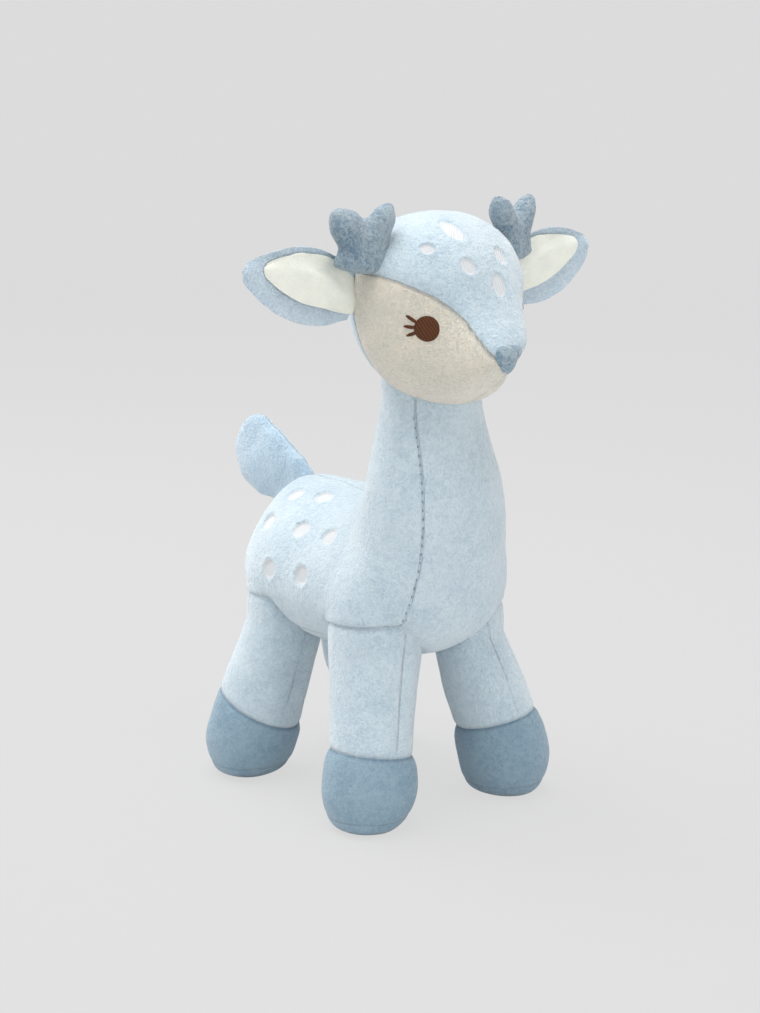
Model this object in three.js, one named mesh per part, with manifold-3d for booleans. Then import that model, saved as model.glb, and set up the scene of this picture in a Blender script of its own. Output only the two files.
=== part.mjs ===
// A standing plush fawn, sewn from short-pile fabric panels over fibre stuffing.
// Millimetres, +Z up, nose towards -Y, the animal's left side towards +X, soles on z = 0.

import * as THREE from "three";
import { mergeVertices } from "three/addons/utils/BufferGeometryUtils.js";
import Module from "manifold-3d";

const wasm = await Module();
wasm.setup();

// Fabric and clearances
const fabric = 1.6; // backing with its pile
const gap = 0.3; // between any two pieces
const overrun = 40; // how far a cutter reaches past what it cuts

// Trunk and neck
const trunkLength = 147;
const backHeight = 143.5;
const bellyHeight = 68;
const trunkHalfWidth = 45;
const chestReach = 31.5; // chest front ahead of the neck's centre line
const neckY = -42;
const collarHeight = 196; // where the head is sewn on, and the centre that it nods and turns about
const neckRadius = 23;
const chestFront = neckY - chestReach;
const trunkHeight = backHeight - bellyHeight;
const gussetHalfWidth = 20.5; // on the neck and chest
const gussetBellyHalfWidth = 35; // between the legs
const gussetFlareHeight = 150; // below which it widens

// Legs
const stanceLength = 99;
const stanceWidth = 84;
const stanceY = -0.8; // middle between the front and the rear hooves
const hipLength = 71;
const hipSpread = 54;
const hipRise = 9; // hip centres above the belly
const legRadius = 19.6;
const legDomeRadius = 21.5;
const ankleHeight = 35;
const soleHeight = 5;
const legSwing = 12; // degrees each way
const ankleTilt = 1.6; // ankle seam's slope over the leg's own lean

// Head
const headAhead = 2; // the head's centre ahead of the neck's
const headRise = 45; // the head's centre above the collar
const headCentreY = neckY - headAhead;
const headCentreZ = collarHeight + headRise;
const headHalfWidth = 42;
const headFrontReach = 36.5;
const headBackReach = 34;
const headTopReach = 34.5;
const headBottomReach = 50;
const muzzleReach = 19;
const muzzleDrop = 28; // below the head's centre
const muzzleHeight = headCentreZ - muzzleDrop;
const muzzleSpread = 17; // how far the muzzle fades above and below its height
const jawForward = 9; // how far the jaw's sections lie ahead of the head's centre
const headBackSeam = 8; // seam plane behind the head's centre
// how far ahead of the head's centre (-) and above it the brow seam's curve has its controls
const browSeam = [[-52, -25], [-38, -12], [-28, 8], [0, 11]];
const browSteps = 6;
const threadRadius = 0.5;

// Eye and nose
const eyeRadius = 5.6;
const eyeRelief = 0.7;
const eyeDrop = 12; // below the head's centre
const eyeTurn = 41; // degrees round from the nose
const eyeSides = 16;
const noseRise = 2.5; // above the muzzle's height
const noseWidth = 15;
const noseHeight = 12.5;
const noseRelief = 1.2;

// Ears
const earLength = 61;
const earHalfWidth = 16.5;
const earBaseHalfWidth = 11.5;
const earCup = 4;
const earThickness = 1.5; // of each leaf at its middle
const earEdge = 0.6; // of each leaf at its rim
const earDrop = 1; // below the head's centre
const earBack = 6; // behind the head's centre
const earBead = 2.7;
const earSink = 1; // the bead's centre below the head's surface
const earTilt = 14; // degrees up from level
const earSweep = -1; // degrees ahead (-) or behind (+) of straight out
const earFlap = 35;

// Antlers
const antlerAhead = 4; // ahead of the head's centre
const antlerRise = 18; // its base above the head's centre
const antlerFork = 8; // from the base up to the fork
const antlerTineRise = 14;
const antlerInnerExtra = 0.5; // the inner tine's height over the outer one's
const antlerTineSpread = 10.2;
const antlerBaseRadius = 12;
const antlerStemRadius = 10;
const antlerTineRadius = 5.5;
const antlerHalfThickness = 5.2;
const antlerTurn = 12; // degrees that the outer edge is swept back
const antlerRoot = 8; // how far the stem reaches down to be cut by the head

// Tail
// length and height shares of the trunk, at the top and the bottom of the tail's base
const tailTopShares = [0.8537, 0.9934];
const tailBottomShares = [1.0238, 0.702];
const tailLength = 48;
const tailHalfWidth = 21.5;
const tailHalfThickness = 6.5;
const tailDroop = 14; // the tip's drift towards the rump
const tailBead = 3;
const tailWag = 30;

// Facets
const trunkSides = 16;
const trunkRings = 16;
const domeRings = 3;
const roomRings = 5;
const headSides = 16;
const headRings = 11;
const legSides = 10;
const limbSides = 6;
const beadSides = 12;

const materials = {
  blue: cloth(0xc3dcf0),
  sky: cloth(0xb4d6ec),
  cream: cloth(0xe9dfd0),
  ivory: cloth(0xeceada),
  slate: cloth(0x9db8cb),
  fill: cloth(0xf6f6f2),
  thread: new THREE.MeshStandardMaterial({ color: 0xa9c6de, roughness: 0.6, metalness: 0 }),
  brown: new THREE.MeshStandardMaterial({ color: 0x54291a, roughness: 0.45, metalness: 0 }),
};

function cloth(color) {
  return new THREE.MeshStandardMaterial({ color, roughness: 0.95, metalness: 0 });
}

// Solids and booleans

function welded(geometry) {
  const bare = geometry.clone();
  bare.deleteAttribute("normal");
  bare.deleteAttribute("uv");
  return mergeVertices(bare);
}

function solid(geometry) {
  const merged = welded(geometry);
  return new wasm.Manifold(
    new wasm.Mesh({
      numProp: 3,
      vertProperties: new Float32Array(merged.attributes.position.array),
      triVerts: new Uint32Array(merged.index.array),
    }),
  );
}

function piece(name, shape, material) {
  const made = shape.getMesh();
  const geometry = new THREE.BufferGeometry();
  geometry.setAttribute("position", new THREE.BufferAttribute(made.vertProperties, 3));
  geometry.setIndex(new THREE.BufferAttribute(made.triVerts, 1));
  geometry.computeVertexNormals();
  const mesh = new THREE.Mesh(geometry, material);
  mesh.name = name;
  return mesh;
}

// Turns every facet round where the closed surface would face inwards.
function facingOut(geometry) {
  const place = geometry.attributes.position;
  const index = geometry.index.array;
  const corner = (i) => new THREE.Vector3().fromBufferAttribute(place, index[i]);
  let volume = 0;
  for (let i = 0; i < index.length; i += 3) {
    volume += corner(i).dot(corner(i + 1).cross(corner(i + 2)));
  }
  for (let i = 0; volume < 0 && i < index.length; i += 3) {
    [index[i + 1], index[i + 2]] = [index[i + 2], index[i + 1]];
  }
  return geometry;
}

function mirrored(geometry) {
  return facingOut(welded(geometry).scale(-1, 1, 1));
}

function forSide(geometry, side) {
  return side > 0 ? geometry : mirrored(geometry);
}

// A closed surface over rings of points that run the same way round, with a point at each end.
function loft(startPoint, rings, endPoint) {
  const count = rings[0].length;
  const points = [startPoint, ...rings.flat(), endPoint];
  const last = points.length - 1;
  const index = [];
  for (let j = 0; j < count; j++) {
    const next = (j + 1) % count;
    index.push(0, 1 + j, 1 + next);
    for (let i = 0; i + 1 < rings.length; i++) {
      const here = 1 + i * count;
      const above = here + count;
      index.push(here + j, above + j, above + next);
      index.push(here + j, above + next, here + next);
    }
    const top = 1 + (rings.length - 1) * count;
    index.push(last, top + next, top + j);
  }
  const geometry = new THREE.BufferGeometry().setFromPoints(points);
  geometry.setIndex(index);
  return facingOut(geometry);
}

// The same surface moved in (or, where negative, out) along its own normals.
function inset(geometry, distance) {
  const moved = geometry.clone();
  moved.computeVertexNormals();
  const place = moved.attributes.position;
  const normal = moved.attributes.normal;
  for (let i = 0; i < place.count; i++) {
    place.setXYZ(
      i,
      place.getX(i) - distance * normal.getX(i),
      place.getY(i) - distance * normal.getY(i),
      place.getZ(i) - distance * normal.getZ(i),
    );
  }
  return moved;
}

function box(low, high) {
  const size = new THREE.Vector3().subVectors(high, low);
  const centre = new THREE.Vector3().addVectors(low, high).multiplyScalar(0.5);
  return solid(new THREE.BoxGeometry(size.x, size.y, size.z).translate(centre.x, centre.y, centre.z));
}

// A round bar along local y, with no corner on a coordinate plane.
function bar(radius, length) {
  return new THREE.CylinderGeometry(radius, radius, length, beadSides).rotateY(Math.PI / beadSides);
}

// A prism over an outline drawn in the (y, z) plane, from one x to another.
function sidePrism(outline, fromX, toX) {
  const shape = new THREE.Shape(outline.map(([y, z]) => new THREE.Vector2(y, z)));
  const geometry = new THREE.ExtrudeGeometry(shape, { depth: toX - fromX, bevelEnabled: false });
  const turn = new THREE.Matrix4().set(0, 0, 1, fromX, 1, 0, 0, 0, 0, 1, 0, 0, 0, 0, 0, 1);
  return solid(geometry.applyMatrix4(turn));
}

// A prism over an outline drawn in the (x, z) plane, right through in y.
function frontPrism(outline, fromY, toY) {
  const shape = new THREE.Shape(outline.map(([x, z]) => new THREE.Vector2(x, z)));
  const geometry = new THREE.ExtrudeGeometry(shape, { depth: toY - fromY, bevelEnabled: false });
  const turn = new THREE.Matrix4().set(1, 0, 0, 0, 0, 0, -1, toY, 0, 1, 0, 0, 0, 0, 0, 1);
  return solid(geometry.applyMatrix4(turn));
}

// A block that fills everything within reach on the far side of a plane.
function halfSpace(normal, origin, offset) {
  const size = overrun * 8;
  const block = new THREE.BoxGeometry(size, size, size).translate(0, 0, size / 2 + offset);
  const turn = new THREE.Quaternion().setFromUnitVectors(new THREE.Vector3(0, 0, 1), normal);
  return block.applyQuaternion(turn).translate(origin.x, origin.y, origin.z);
}

function ball(centre, radius, sides, rings) {
  const geometry = new THREE.SphereGeometry(radius, sides, rings);
  return solid(geometry.rotateX(Math.PI / 2).translate(centre.x, centre.y, centre.z));
}

const degrees = THREE.MathUtils.degToRad;

// Trunk and neck: each row is one section, from the rump's end to the collar.
const neckRise = collarHeight - backHeight;

// dorsal length and height, ventral length and height, half width
const trunkSectionShares = [
  [1.0, 0.4, 1.0, 0.39, 0.02],
  [0.985, 0.62, 0.97, 0.2, 0.54],
  [0.93, 0.82, 0.89, 0.06, 0.77],
  [0.83, 0.965, 0.76, 0.0, 0.92],
  [0.7, 1.0, 0.62, 0.0, 1.0],
  [0.57, 0.985, 0.47, 0.0, 1.0],
  [0.45, 0.985, 0.32, 0.02, 0.98],
  [0.385, 1.03, 0.19, 0.08, 0.92],
];
// dorsal rise and radius, ventral rise and radius, half width
const neckSectionShares = [
  [0.2, 1.07, -1.05, 1.02, 1.68],
  [0.34, 1.0, -0.6, 1.28, 1.55],
  [0.48, 0.98, -0.2, 1.36, 1.46],
  [0.64, 0.98, 0.18, 1.33, 1.28],
  [0.8, 0.98, 0.52, 1.16, 1.1],
  [0.9, 0.98, 0.82, 1.0, 1.0],
  [1.0, 0.98, 1.0, 0.97, 0.97],
];

function trunkControls() {
  const rows = trunkSectionShares.map(([dl, dh, vl, vh, w]) => ({
    dorsal: new THREE.Vector3(0, chestFront + dl * trunkLength, bellyHeight + dh * trunkHeight),
    ventral: new THREE.Vector3(0, chestFront + vl * trunkLength, bellyHeight + vh * trunkHeight),
    width: w * trunkHalfWidth,
  }));
  for (const [dr, dn, vr, vn, w] of neckSectionShares) {
    rows.push({
      dorsal: new THREE.Vector3(0, neckY + dn * neckRadius, backHeight + dr * neckRise),
      ventral: new THREE.Vector3(0, neckY - vn * neckRadius, backHeight + vr * neckRise),
      width: w * neckRadius,
    });
  }
  return rows;
}

// The share by which a section is wider towards the belly than towards the back.
const pearShare = 0.1;

function section(dorsal, ventral, halfWidth, pear) {
  const middle = new THREE.Vector3().addVectors(dorsal, ventral).multiplyScalar(0.5);
  const reach = new THREE.Vector3().subVectors(dorsal, ventral).multiplyScalar(0.5);
  return Array.from({ length: trunkSides }, (_, j) => {
    const turn = (2 * Math.PI * (j + 0.5)) / trunkSides;
    const across = halfWidth * Math.sin(turn) * (1 - pear * Math.cos(turn));
    return middle.clone().addScaledVector(reach, Math.cos(turn)).setX(across);
  });
}

function torsoSurface() {
  const rows = trunkControls();
  const dorsal = new THREE.CatmullRomCurve3(rows.map((row) => row.dorsal), false, "centripetal");
  const ventral = new THREE.CatmullRomCurve3(rows.map((row) => row.ventral), false, "centripetal");
  const widths = new THREE.CatmullRomCurve3(
    rows.map((row, i) => new THREE.Vector3(row.width, i * neckRadius, 0)), false, "catmullrom", 0.5,
  );
  const rings = [];
  for (let i = 1; i <= trunkRings; i++) {
    const at = i / trunkRings;
    const neckShare = THREE.MathUtils.smoothstep(at, 0.5, 0.75);
    rings.push(
      section(dorsal.getPoint(at), ventral.getPoint(at), widths.getPoint(at).x, pearShare * (1 - neckShare)),
    );
  }
  for (let i = 1; i <= domeRings; i++) {
    const rise = (Math.PI / 2) * (i / (domeRings + 1));
    const lift = new THREE.Vector3(0, neckY, collarHeight + neckRadius * Math.sin(rise));
    const reach = new THREE.Vector3(0, neckRadius * Math.cos(rise), 0);
    rings.push(section(lift.clone().add(reach), lift.clone().sub(reach), reach.y, 0));
  }
  const rump = new THREE.Vector3().addVectors(rows[0].dorsal, rows[0].ventral).multiplyScalar(0.5);
  const crown = new THREE.Vector3(0, neckY, collarHeight + neckRadius);
  return loft(rump, rings, crown);
}

// Legs

const hipHeight = bellyHeight + hipRise;
// height share up to the hip, radius share
const hoofStationShares = [
  [0, 0.7],
  [0.16, 0.89],
  [0.5, 1.04],
];
const legStations = [
  ...hoofStationShares.map(([h, r]) => [h * 2 * soleHeight, r * legRadius]),
  [soleHeight + 0.35 * (ankleHeight - soleHeight), 1.19 * legRadius],
  [soleHeight + 0.75 * (ankleHeight - soleHeight), 1.15 * legRadius],
  [ankleHeight, legRadius],
  [ankleHeight + 0.3 * (hipHeight - ankleHeight), 0.98 * legRadius],
  [ankleHeight + 0.7 * (hipHeight - ankleHeight), 1.02 * legRadius],
];

function legAxis(end) {
  const forward = end === "front" ? -1 : 1;
  return {
    hoof: new THREE.Vector3(stanceWidth / 2, stanceY + (forward * stanceLength) / 2, 0),
    hip: new THREE.Vector3(hipSpread / 2, (forward * hipLength) / 2, hipHeight),
  };
}

// The ankle is highest on the side that the leg leans to, and level again at the sole and the hip.
function ankleSlope({ hoof, hip }) {
  return new THREE.Vector3().subVectors(hoof, hip).setZ(0).multiplyScalar(ankleTilt / hip.z);
}

function tilted(ring, centre, slope) {
  for (const point of ring) {
    point.z += slope.dot(new THREE.Vector3().subVectors(point, centre));
  }
  return ring;
}

function circle(centre, radius, sides, shift = 0) {
  return Array.from({ length: sides }, (_, j) => {
    const turn = (2 * Math.PI * (j + 0.5)) / sides;
    const along = radius * Math.sin(turn) + Math.sign(Math.sin(turn)) * shift;
    return new THREE.Vector3(centre.x + radius * Math.cos(turn), centre.y + along, centre.z);
  });
}

function legSurface({ hoof, hip }) {
  const slope = ankleSlope({ hoof, hip });
  const rings = legStations.map(([height, radius]) => {
    const centre = new THREE.Vector3().lerpVectors(hoof, hip, height / hip.z);
    const near = height < ankleHeight ? height / ankleHeight : (hip.z - height) / (hip.z - ankleHeight);
    return tilted(circle(centre, radius, legSides), centre, slope.clone().multiplyScalar(near));
  });
  for (let i = 0; i < domeRings + 1; i++) {
    const rise = (Math.PI / 2) * (i / (domeRings + 1));
    const centre = hip.clone().setZ(hip.z + legDomeRadius * Math.sin(rise));
    rings.push(circle(centre, legDomeRadius * Math.cos(rise), legSides));
  }
  return loft(hoof.clone(), rings, hip.clone().setZ(hip.z + legDomeRadius));
}

// The space that a leg's top takes as it swings.
function legRoom({ hoof, hip }) {
  const sides = 2 * legSides;
  const radius = (legDomeRadius + gap) / Math.cos(Math.PI / sides);
  const depth = 1.5 * legDomeRadius;
  const low = new THREE.Vector3().lerpVectors(hip, hoof, depth / hip.z);
  const rings = [
    circle(low, radius, sides, depth * Math.tan(degrees(legSwing))),
    circle(hip, radius, sides, gap),
  ];
  for (let i = 1; i < roomRings; i++) {
    const rise = (Math.PI / 2) * (i / roomRings);
    const centre = hip.clone().setZ(hip.z + radius * Math.sin(rise));
    rings.push(circle(centre, radius * Math.cos(rise), sides));
  }
  return loft(low.clone(), rings, hip.clone().setZ(hip.z + radius));
}

// Pieces of one leg
function leg(end, side) {
  const axis = legAxis(end);
  const skin = forSide(legSurface(axis), side);
  const shell = solid(skin).subtract(solid(inset(skin, fabric)));
  const far = stanceWidth + overrun;
  const reach = stanceLength + overrun;
  const band = (low, high) =>
    box(new THREE.Vector3(-far, -reach, low), new THREE.Vector3(far, reach, high));
  const sole = shell.intersect(band(-overrun, soleHeight - gap / 2));
  const ankle = new THREE.Vector3().lerpVectors(axis.hoof, axis.hip, ankleHeight / hipHeight);
  const upright = ankleSlope(axis).negate().setZ(1).normalize();
  const above = (offset) => solid(forSide(halfSpace(upright, ankle, offset), side));
  const wall = shell.intersect(band(soleHeight + gap / 2, hipHeight)).subtract(above(-gap / 2));
  const tube = shell.intersect(above(gap / 2));
  // The plane of the front and back seams runs along the leg's axis.
  const top = axis.hip.clone().lerp(axis.hoof, -overrun / hipHeight);
  const half = (away) => {
    const edge = (away * gap) / 2;
    const outline = [
      [side * axis.hoof.x + edge, 0],
      [side * (axis.hoof.x) + away * far, 0],
      [side * (axis.hoof.x) + away * far, top.z],
      [side * top.x + edge, top.z],
    ];
    return frontPrism(away > 0 ? outline : outline.reverse(), -reach, reach);
  };
  const name = "leg_" + end + (side > 0 ? "_left" : "_right");
  return [
    piece(name + "_outer", tube.intersect(half(side)), materials.blue),
    piece(name + "_inner", tube.intersect(half(-side)), materials.blue),
    piece(name + "_hoof_wall", wall, materials.slate),
    piece(name + "_hoof_sole", sole, materials.slate),
    piece(name + "_stuffing", solid(inset(skin, fabric + gap)), materials.fill),
  ];
}

// Head: level sections, each a round with a rounded muzzle pushed out of its front.

const muzzleSharpness = 5; // power of the cosine that shapes the muzzle from above
const headSquareness = 0.9; // power of the cosine that shapes the head from the front

function headRing(rise) {
  const up = Math.sin(rise) > 0;
  const z = headCentreZ + (up ? headTopReach : headBottomReach) * Math.sin(rise);
  const swell = Math.cos(rise) ** headSquareness;
  const middle = headCentreY - (up ? 0 : jawForward * Math.sin(rise) ** 2);
  const snout = muzzleReach * Math.exp(-(((z - muzzleHeight) / muzzleSpread) ** 2));
  return Array.from({ length: headSides }, (_, j) => {
    const turn = (2 * Math.PI * (j + 0.5)) / headSides;
    const ahead = Math.cos(turn);
    const reach = ahead > 0 ? headFrontReach : headBackReach;
    const y = middle - swell * reach * ahead - snout * Math.max(0, ahead) ** muzzleSharpness;
    return new THREE.Vector3(swell * headHalfWidth * Math.sin(turn), y, z);
  });
}

function headSurface() {
  const rings = [];
  for (let i = 1; i <= headRings; i++) {
    rings.push(headRing(Math.PI * (i / (headRings + 1) - 0.5)));
  }
  return loft(
    new THREE.Vector3(0, headCentreY - jawForward, headCentreZ - headBottomReach),
    rings,
    new THREE.Vector3(0, headCentreY, headCentreZ + headTopReach),
  );
}

// Ears, drawn for the left side: along the ear, up its width, and out of its face.

function earPlace() {
  const tilt = degrees(earTilt);
  const sweep = degrees(earSweep);
  const along = new THREE.Vector3(
    Math.cos(tilt) * Math.cos(sweep), Math.cos(tilt) * Math.sin(sweep), Math.sin(tilt),
  );
  const up = new THREE.Vector3(-Math.sin(tilt), 0, Math.cos(tilt));
  const face = new THREE.Vector3().crossVectors(along, up).normalize();
  up.crossVectors(face, along);
  const height = earDrop / headTopReach;
  const back = earBack / headFrontReach;
  const surface = headHalfWidth * Math.sqrt(1 - height * height - back * back);
  const base = new THREE.Vector3(surface - earSink, headCentreY + earBack, headCentreZ - earDrop);
  return new THREE.Matrix4().makeBasis(along, up, face).setPosition(base);
}

// share along the ear, half-width share, cup share
const earStationShares = [
  [0.0, 0.0, 0.0],
  [0.1, 0.3, 0.3],
  [0.25, 0.78, 0.75],
  [0.42, 1.0, 1.0],
  [0.6, 0.93, 1.0],
  [0.78, 0.68, 0.8],
  [0.91, 0.38, 0.5],
  [0.98, 0.14, 0.25],
];
const earSteps = 6; // facets across the ear

// One leaf of the ear, whose back face lies a given height above the cupped middle surface.
function earLeaf(startShare, lengthShare, widthShare, lift) {
  const rings = [];
  for (const [along, wide, cupped] of earStationShares) {
    const s = (startShare + (lengthShare - startShare) * along) * earLength;
    const swell = along < 0.42 ? earBaseHalfWidth + (earHalfWidth - earBaseHalfWidth) * wide : earHalfWidth * wide;
    const halfWidth = widthShare * swell;
    const surface = (v) => earCup * cupped * (v / swell) ** 2 + lift;
    const back = [];
    const front = [];
    for (let j = 0; j <= earSteps; j++) {
      const v = halfWidth * ((2 * j) / earSteps - 1);
      const thick = earEdge + (earThickness - earEdge) * (1 - (v / halfWidth) ** 2);
      back.push(new THREE.Vector3(s, v, surface(v)));
      front.push(new THREE.Vector3(s, v, surface(v) + thick));
    }
    rings.push([...back, ...front.reverse()]);
  }
  const end = earStationShares[0];
  const startAt = startShare * earLength;
  const middle = (earEdge + earThickness) / 2 + lift;
  const start = new THREE.Vector3(startAt, end[0], middle);
  const tip = new THREE.Vector3(lengthShare * earLength, 0, lift + earEdge);
  return loft(start, rings, tip);
}

const liningStartShare = 0.07;
const liningLengthShare = 0.9;
const liningWidthShare = 0.8;

function ear(side) {
  const place = earPlace();
  const bead = bar(earBead, 2 * earBaseHalfWidth);
  const backLeaf = earLeaf(0, 1, 1, -earThickness);
  const lining = earLeaf(liningStartShare, liningLengthShare, liningWidthShare, gap);
  const set = (geometry) => solid(forSide(geometry.applyMatrix4(place), side));
  const suffix = side > 0 ? "left" : "right";
  return [
    piece("ear_back_" + suffix, set(backLeaf).add(set(bead)), materials.blue),
    piece("ear_lining_" + suffix, set(lining), materials.ivory),
  ];
}

// A groove for a sewn bead and the leaf that swings on it: the bead lies along local y, and the leaf
// leaves it along local x.
function grooveCutters(bead, halfLength, swing, reach) {
  const room = bead + gap;
  const round = bar(room, 2 * (halfLength + gap));
  const flare = room + reach * Math.tan(degrees(swing));
  const wedge = new THREE.Shape([
    new THREE.Vector2(0, -room),
    new THREE.Vector2(reach, -flare),
    new THREE.Vector2(reach, flare),
    new THREE.Vector2(0, room),
  ]);
  const prism = new THREE.ExtrudeGeometry(wedge, { depth: 2 * (halfLength + gap), bevelEnabled: false });
  prism.translate(0, 0, -(halfLength + gap)).rotateX(-Math.PI / 2);
  return [round, prism];
}

// Antlers, for the left side: a stem that forks into two blunt tines, cut to sit on the head.

function tine(from, to, startRadius, endRadius) {
  const along = new THREE.Vector3().subVectors(to, from);
  const flat = antlerHalfThickness / antlerTineRadius;
  const across = new THREE.Vector3(along.z, 0, -along.x).normalize();
  const ring = (at, radius) =>
    Array.from({ length: limbSides }, (_, j) => {
      const turn = (2 * Math.PI * (j + 0.5)) / limbSides;
      const deep = Math.min(radius * flat, antlerHalfThickness) * Math.sin(turn);
      return new THREE.Vector3()
        .lerpVectors(from, to, at)
        .addScaledVector(across, radius * Math.cos(turn))
        .add(new THREE.Vector3(0, deep, 0));
    });
  const capShare = endRadius / along.length();
  const rings = [
    ring(0, startRadius),
    ring(0.5, (startRadius + endRadius) / 2),
    ring(1, endRadius),
    ring(1 + 0.7 * capShare, 0.7 * endRadius),
  ];
  return loft(from.clone(), rings, new THREE.Vector3().lerpVectors(from, to, 1 + capShare));
}

// The antler's own frame: origin at its base, x outwards along its width, y back, z up.
function antlerLimbs() {
  const fork = new THREE.Vector3(0, 0, antlerFork);
  const root = new THREE.Vector3(0, 0, -antlerRoot);
  const rise = antlerTineRise - antlerTineRadius;
  const outer = fork.clone().add(new THREE.Vector3(antlerTineSpread, 0, rise));
  const inner = fork.clone().add(new THREE.Vector3(-antlerTineSpread, 0, rise + antlerInnerExtra));
  const low = fork.clone().setZ(fork.z - antlerTineRadius);
  return [
    tine(root, fork, antlerBaseRadius, antlerStemRadius),
    tine(low, outer, antlerStemRadius, antlerTineRadius),
    tine(low, inner, antlerStemRadius, antlerTineRadius),
  ];
}

function antler(side, headClearance) {
  const place = new THREE.Matrix4()
    .makeRotationZ(degrees(antlerTurn))
    .setPosition(headHalfWidth, headCentreY - antlerAhead, headCentreZ + antlerRise);
  const set = (geometry) => solid(forSide(geometry.applyMatrix4(place), side));
  const joined = (distance) =>
    antlerLimbs().map((limb) => set(inset(limb, distance))).reduce((all, next) => all.add(next));
  const outer = joined(0).subtract(headClearance);
  const shell = outer.subtract(joined(fabric));
  const half = (way) => {
    const block = new THREE.BoxGeometry(2 * overrun, overrun, 2 * overrun);
    return set(block.translate(0, way * (overrun / 2 + gap / 2), 0));
  };
  const name = "antler" + (side > 0 ? "_left" : "_right");
  return [
    piece(name + "_front", shell.intersect(half(-1)), materials.slate),
    piece(name + "_back", shell.intersect(half(1)), materials.slate),
    piece(name + "_stuffing", joined(fabric + gap).subtract(headClearance), materials.fill),
  ];
}

// Tail: a puffed leaf that stands in the middle plane on the rump.

function onTrunk([length, height]) {
  return new THREE.Vector3(0, chestFront + length * trunkLength, bellyHeight + height * trunkHeight);
}

function tailPlace() {
  const tailBaseTop = onTrunk(tailTopShares);
  const tailBaseBottom = onTrunk(tailBottomShares);
  const down = new THREE.Vector3().subVectors(tailBaseBottom, tailBaseTop).normalize();
  const across = new THREE.Vector3(1, 0, 0);
  const along = new THREE.Vector3().crossVectors(across, down).negate();
  if (along.y < 0) along.negate();
  const out = new THREE.Vector3().crossVectors(along, down);
  const base = new THREE.Vector3().addVectors(tailBaseTop, tailBaseBottom).multiplyScalar(0.5);
  return new THREE.Matrix4().makeBasis(along, down, out).setPosition(base);
}

// share along the tail, half-width share, half-thickness share, drift share
const tailStationShares = [
  [0.0, 0.76, 0.4, 0.05],
  [0.1, 0.86, 0.55, 0.25],
  [0.28, 0.97, 0.85, 0.6],
  [0.5, 1.0, 1.0, 0.8],
  [0.7, 0.9, 0.95, 0.9],
  [0.86, 0.66, 0.75, 0.9],
  [0.96, 0.34, 0.45, 0.85],
];

// The tail's surface, or one that lies a wall further in.
function tailSurface(wall) {
  const sides = 2 * limbSides - 4;
  const rings = tailStationShares.map(([along, wide, thick, drift]) =>
    Array.from({ length: sides }, (_, j) => {
      const turn = (2 * Math.PI * (j + 0.5)) / sides;
      return new THREE.Vector3(
        wall + along * (tailLength - 2 * wall),
        drift * tailDroop + (wide * tailHalfWidth - wall) * Math.cos(turn),
        (thick * tailHalfThickness - wall) * Math.sin(turn),
      );
    }),
  );
  const drift = tailDroop * tailStationShares.at(-1)[3];
  return loft(new THREE.Vector3(wall, 0, 0), rings, new THREE.Vector3(tailLength - wall, drift, 0));
}

const tailBeadHalfLength = 0.7 * tailHalfWidth;

function tail() {
  const place = tailPlace();
  const surface = (wall) => solid(tailSurface(wall).applyMatrix4(place));
  const bead = bar(tailBead, 2 * tailBeadHalfLength);
  const shell = surface(0).add(solid(bead.applyMatrix4(place))).subtract(surface(fabric));
  const far = new THREE.Vector3(overrun, trunkLength + tailLength, collarHeight + tailLength);
  const left = box(new THREE.Vector3(gap / 2, -far.y, 0), far);
  const right = box(new THREE.Vector3(-far.x, -far.y, 0), new THREE.Vector3(-gap / 2, far.y, far.z));
  return [
    piece("tail_panel_left", shell.intersect(left), materials.sky),
    piece("tail_panel_right", shell.intersect(right), materials.sky),
    piece("tail_stuffing", surface(fabric + gap), materials.fill),
  ];
}

// Torso: panels and stuffing, with room for the legs, the tail's bead and the neck's dome.

function gussetOutline() {
  const rows = trunkControls();
  const middles = rows.map((row) => new THREE.Vector3().lerpVectors(row.dorsal, row.ventral, 0.5));
  const inner = middles.slice(2).map((point) => [point.y, point.z]);
  const crown = collarHeight + neckRadius + overrun;
  return [
    [middles[2].y, bellyHeight - overrun],
    ...inner,
    [neckY, crown],
    [chestFront - overrun, crown],
    [chestFront - overrun, bellyHeight - overrun],
  ];
}

// The gusset as seen from ahead: straight down the chest, then widening to the legs.
function gussetFront(edge) {
  const chest = gussetHalfWidth + edge;
  const belly = gussetBellyHalfWidth + edge;
  const crown = collarHeight + neckRadius + overrun;
  const right = [
    [belly, bellyHeight - overrun],
    [belly, hipHeight],
    [chest, gussetFlareHeight],
    [chest, crown],
  ];
  const left = right.map(([x, z]) => [-x, z]).reverse();
  return frontPrism([...right, ...left], -trunkLength, trunkLength);
}

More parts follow.
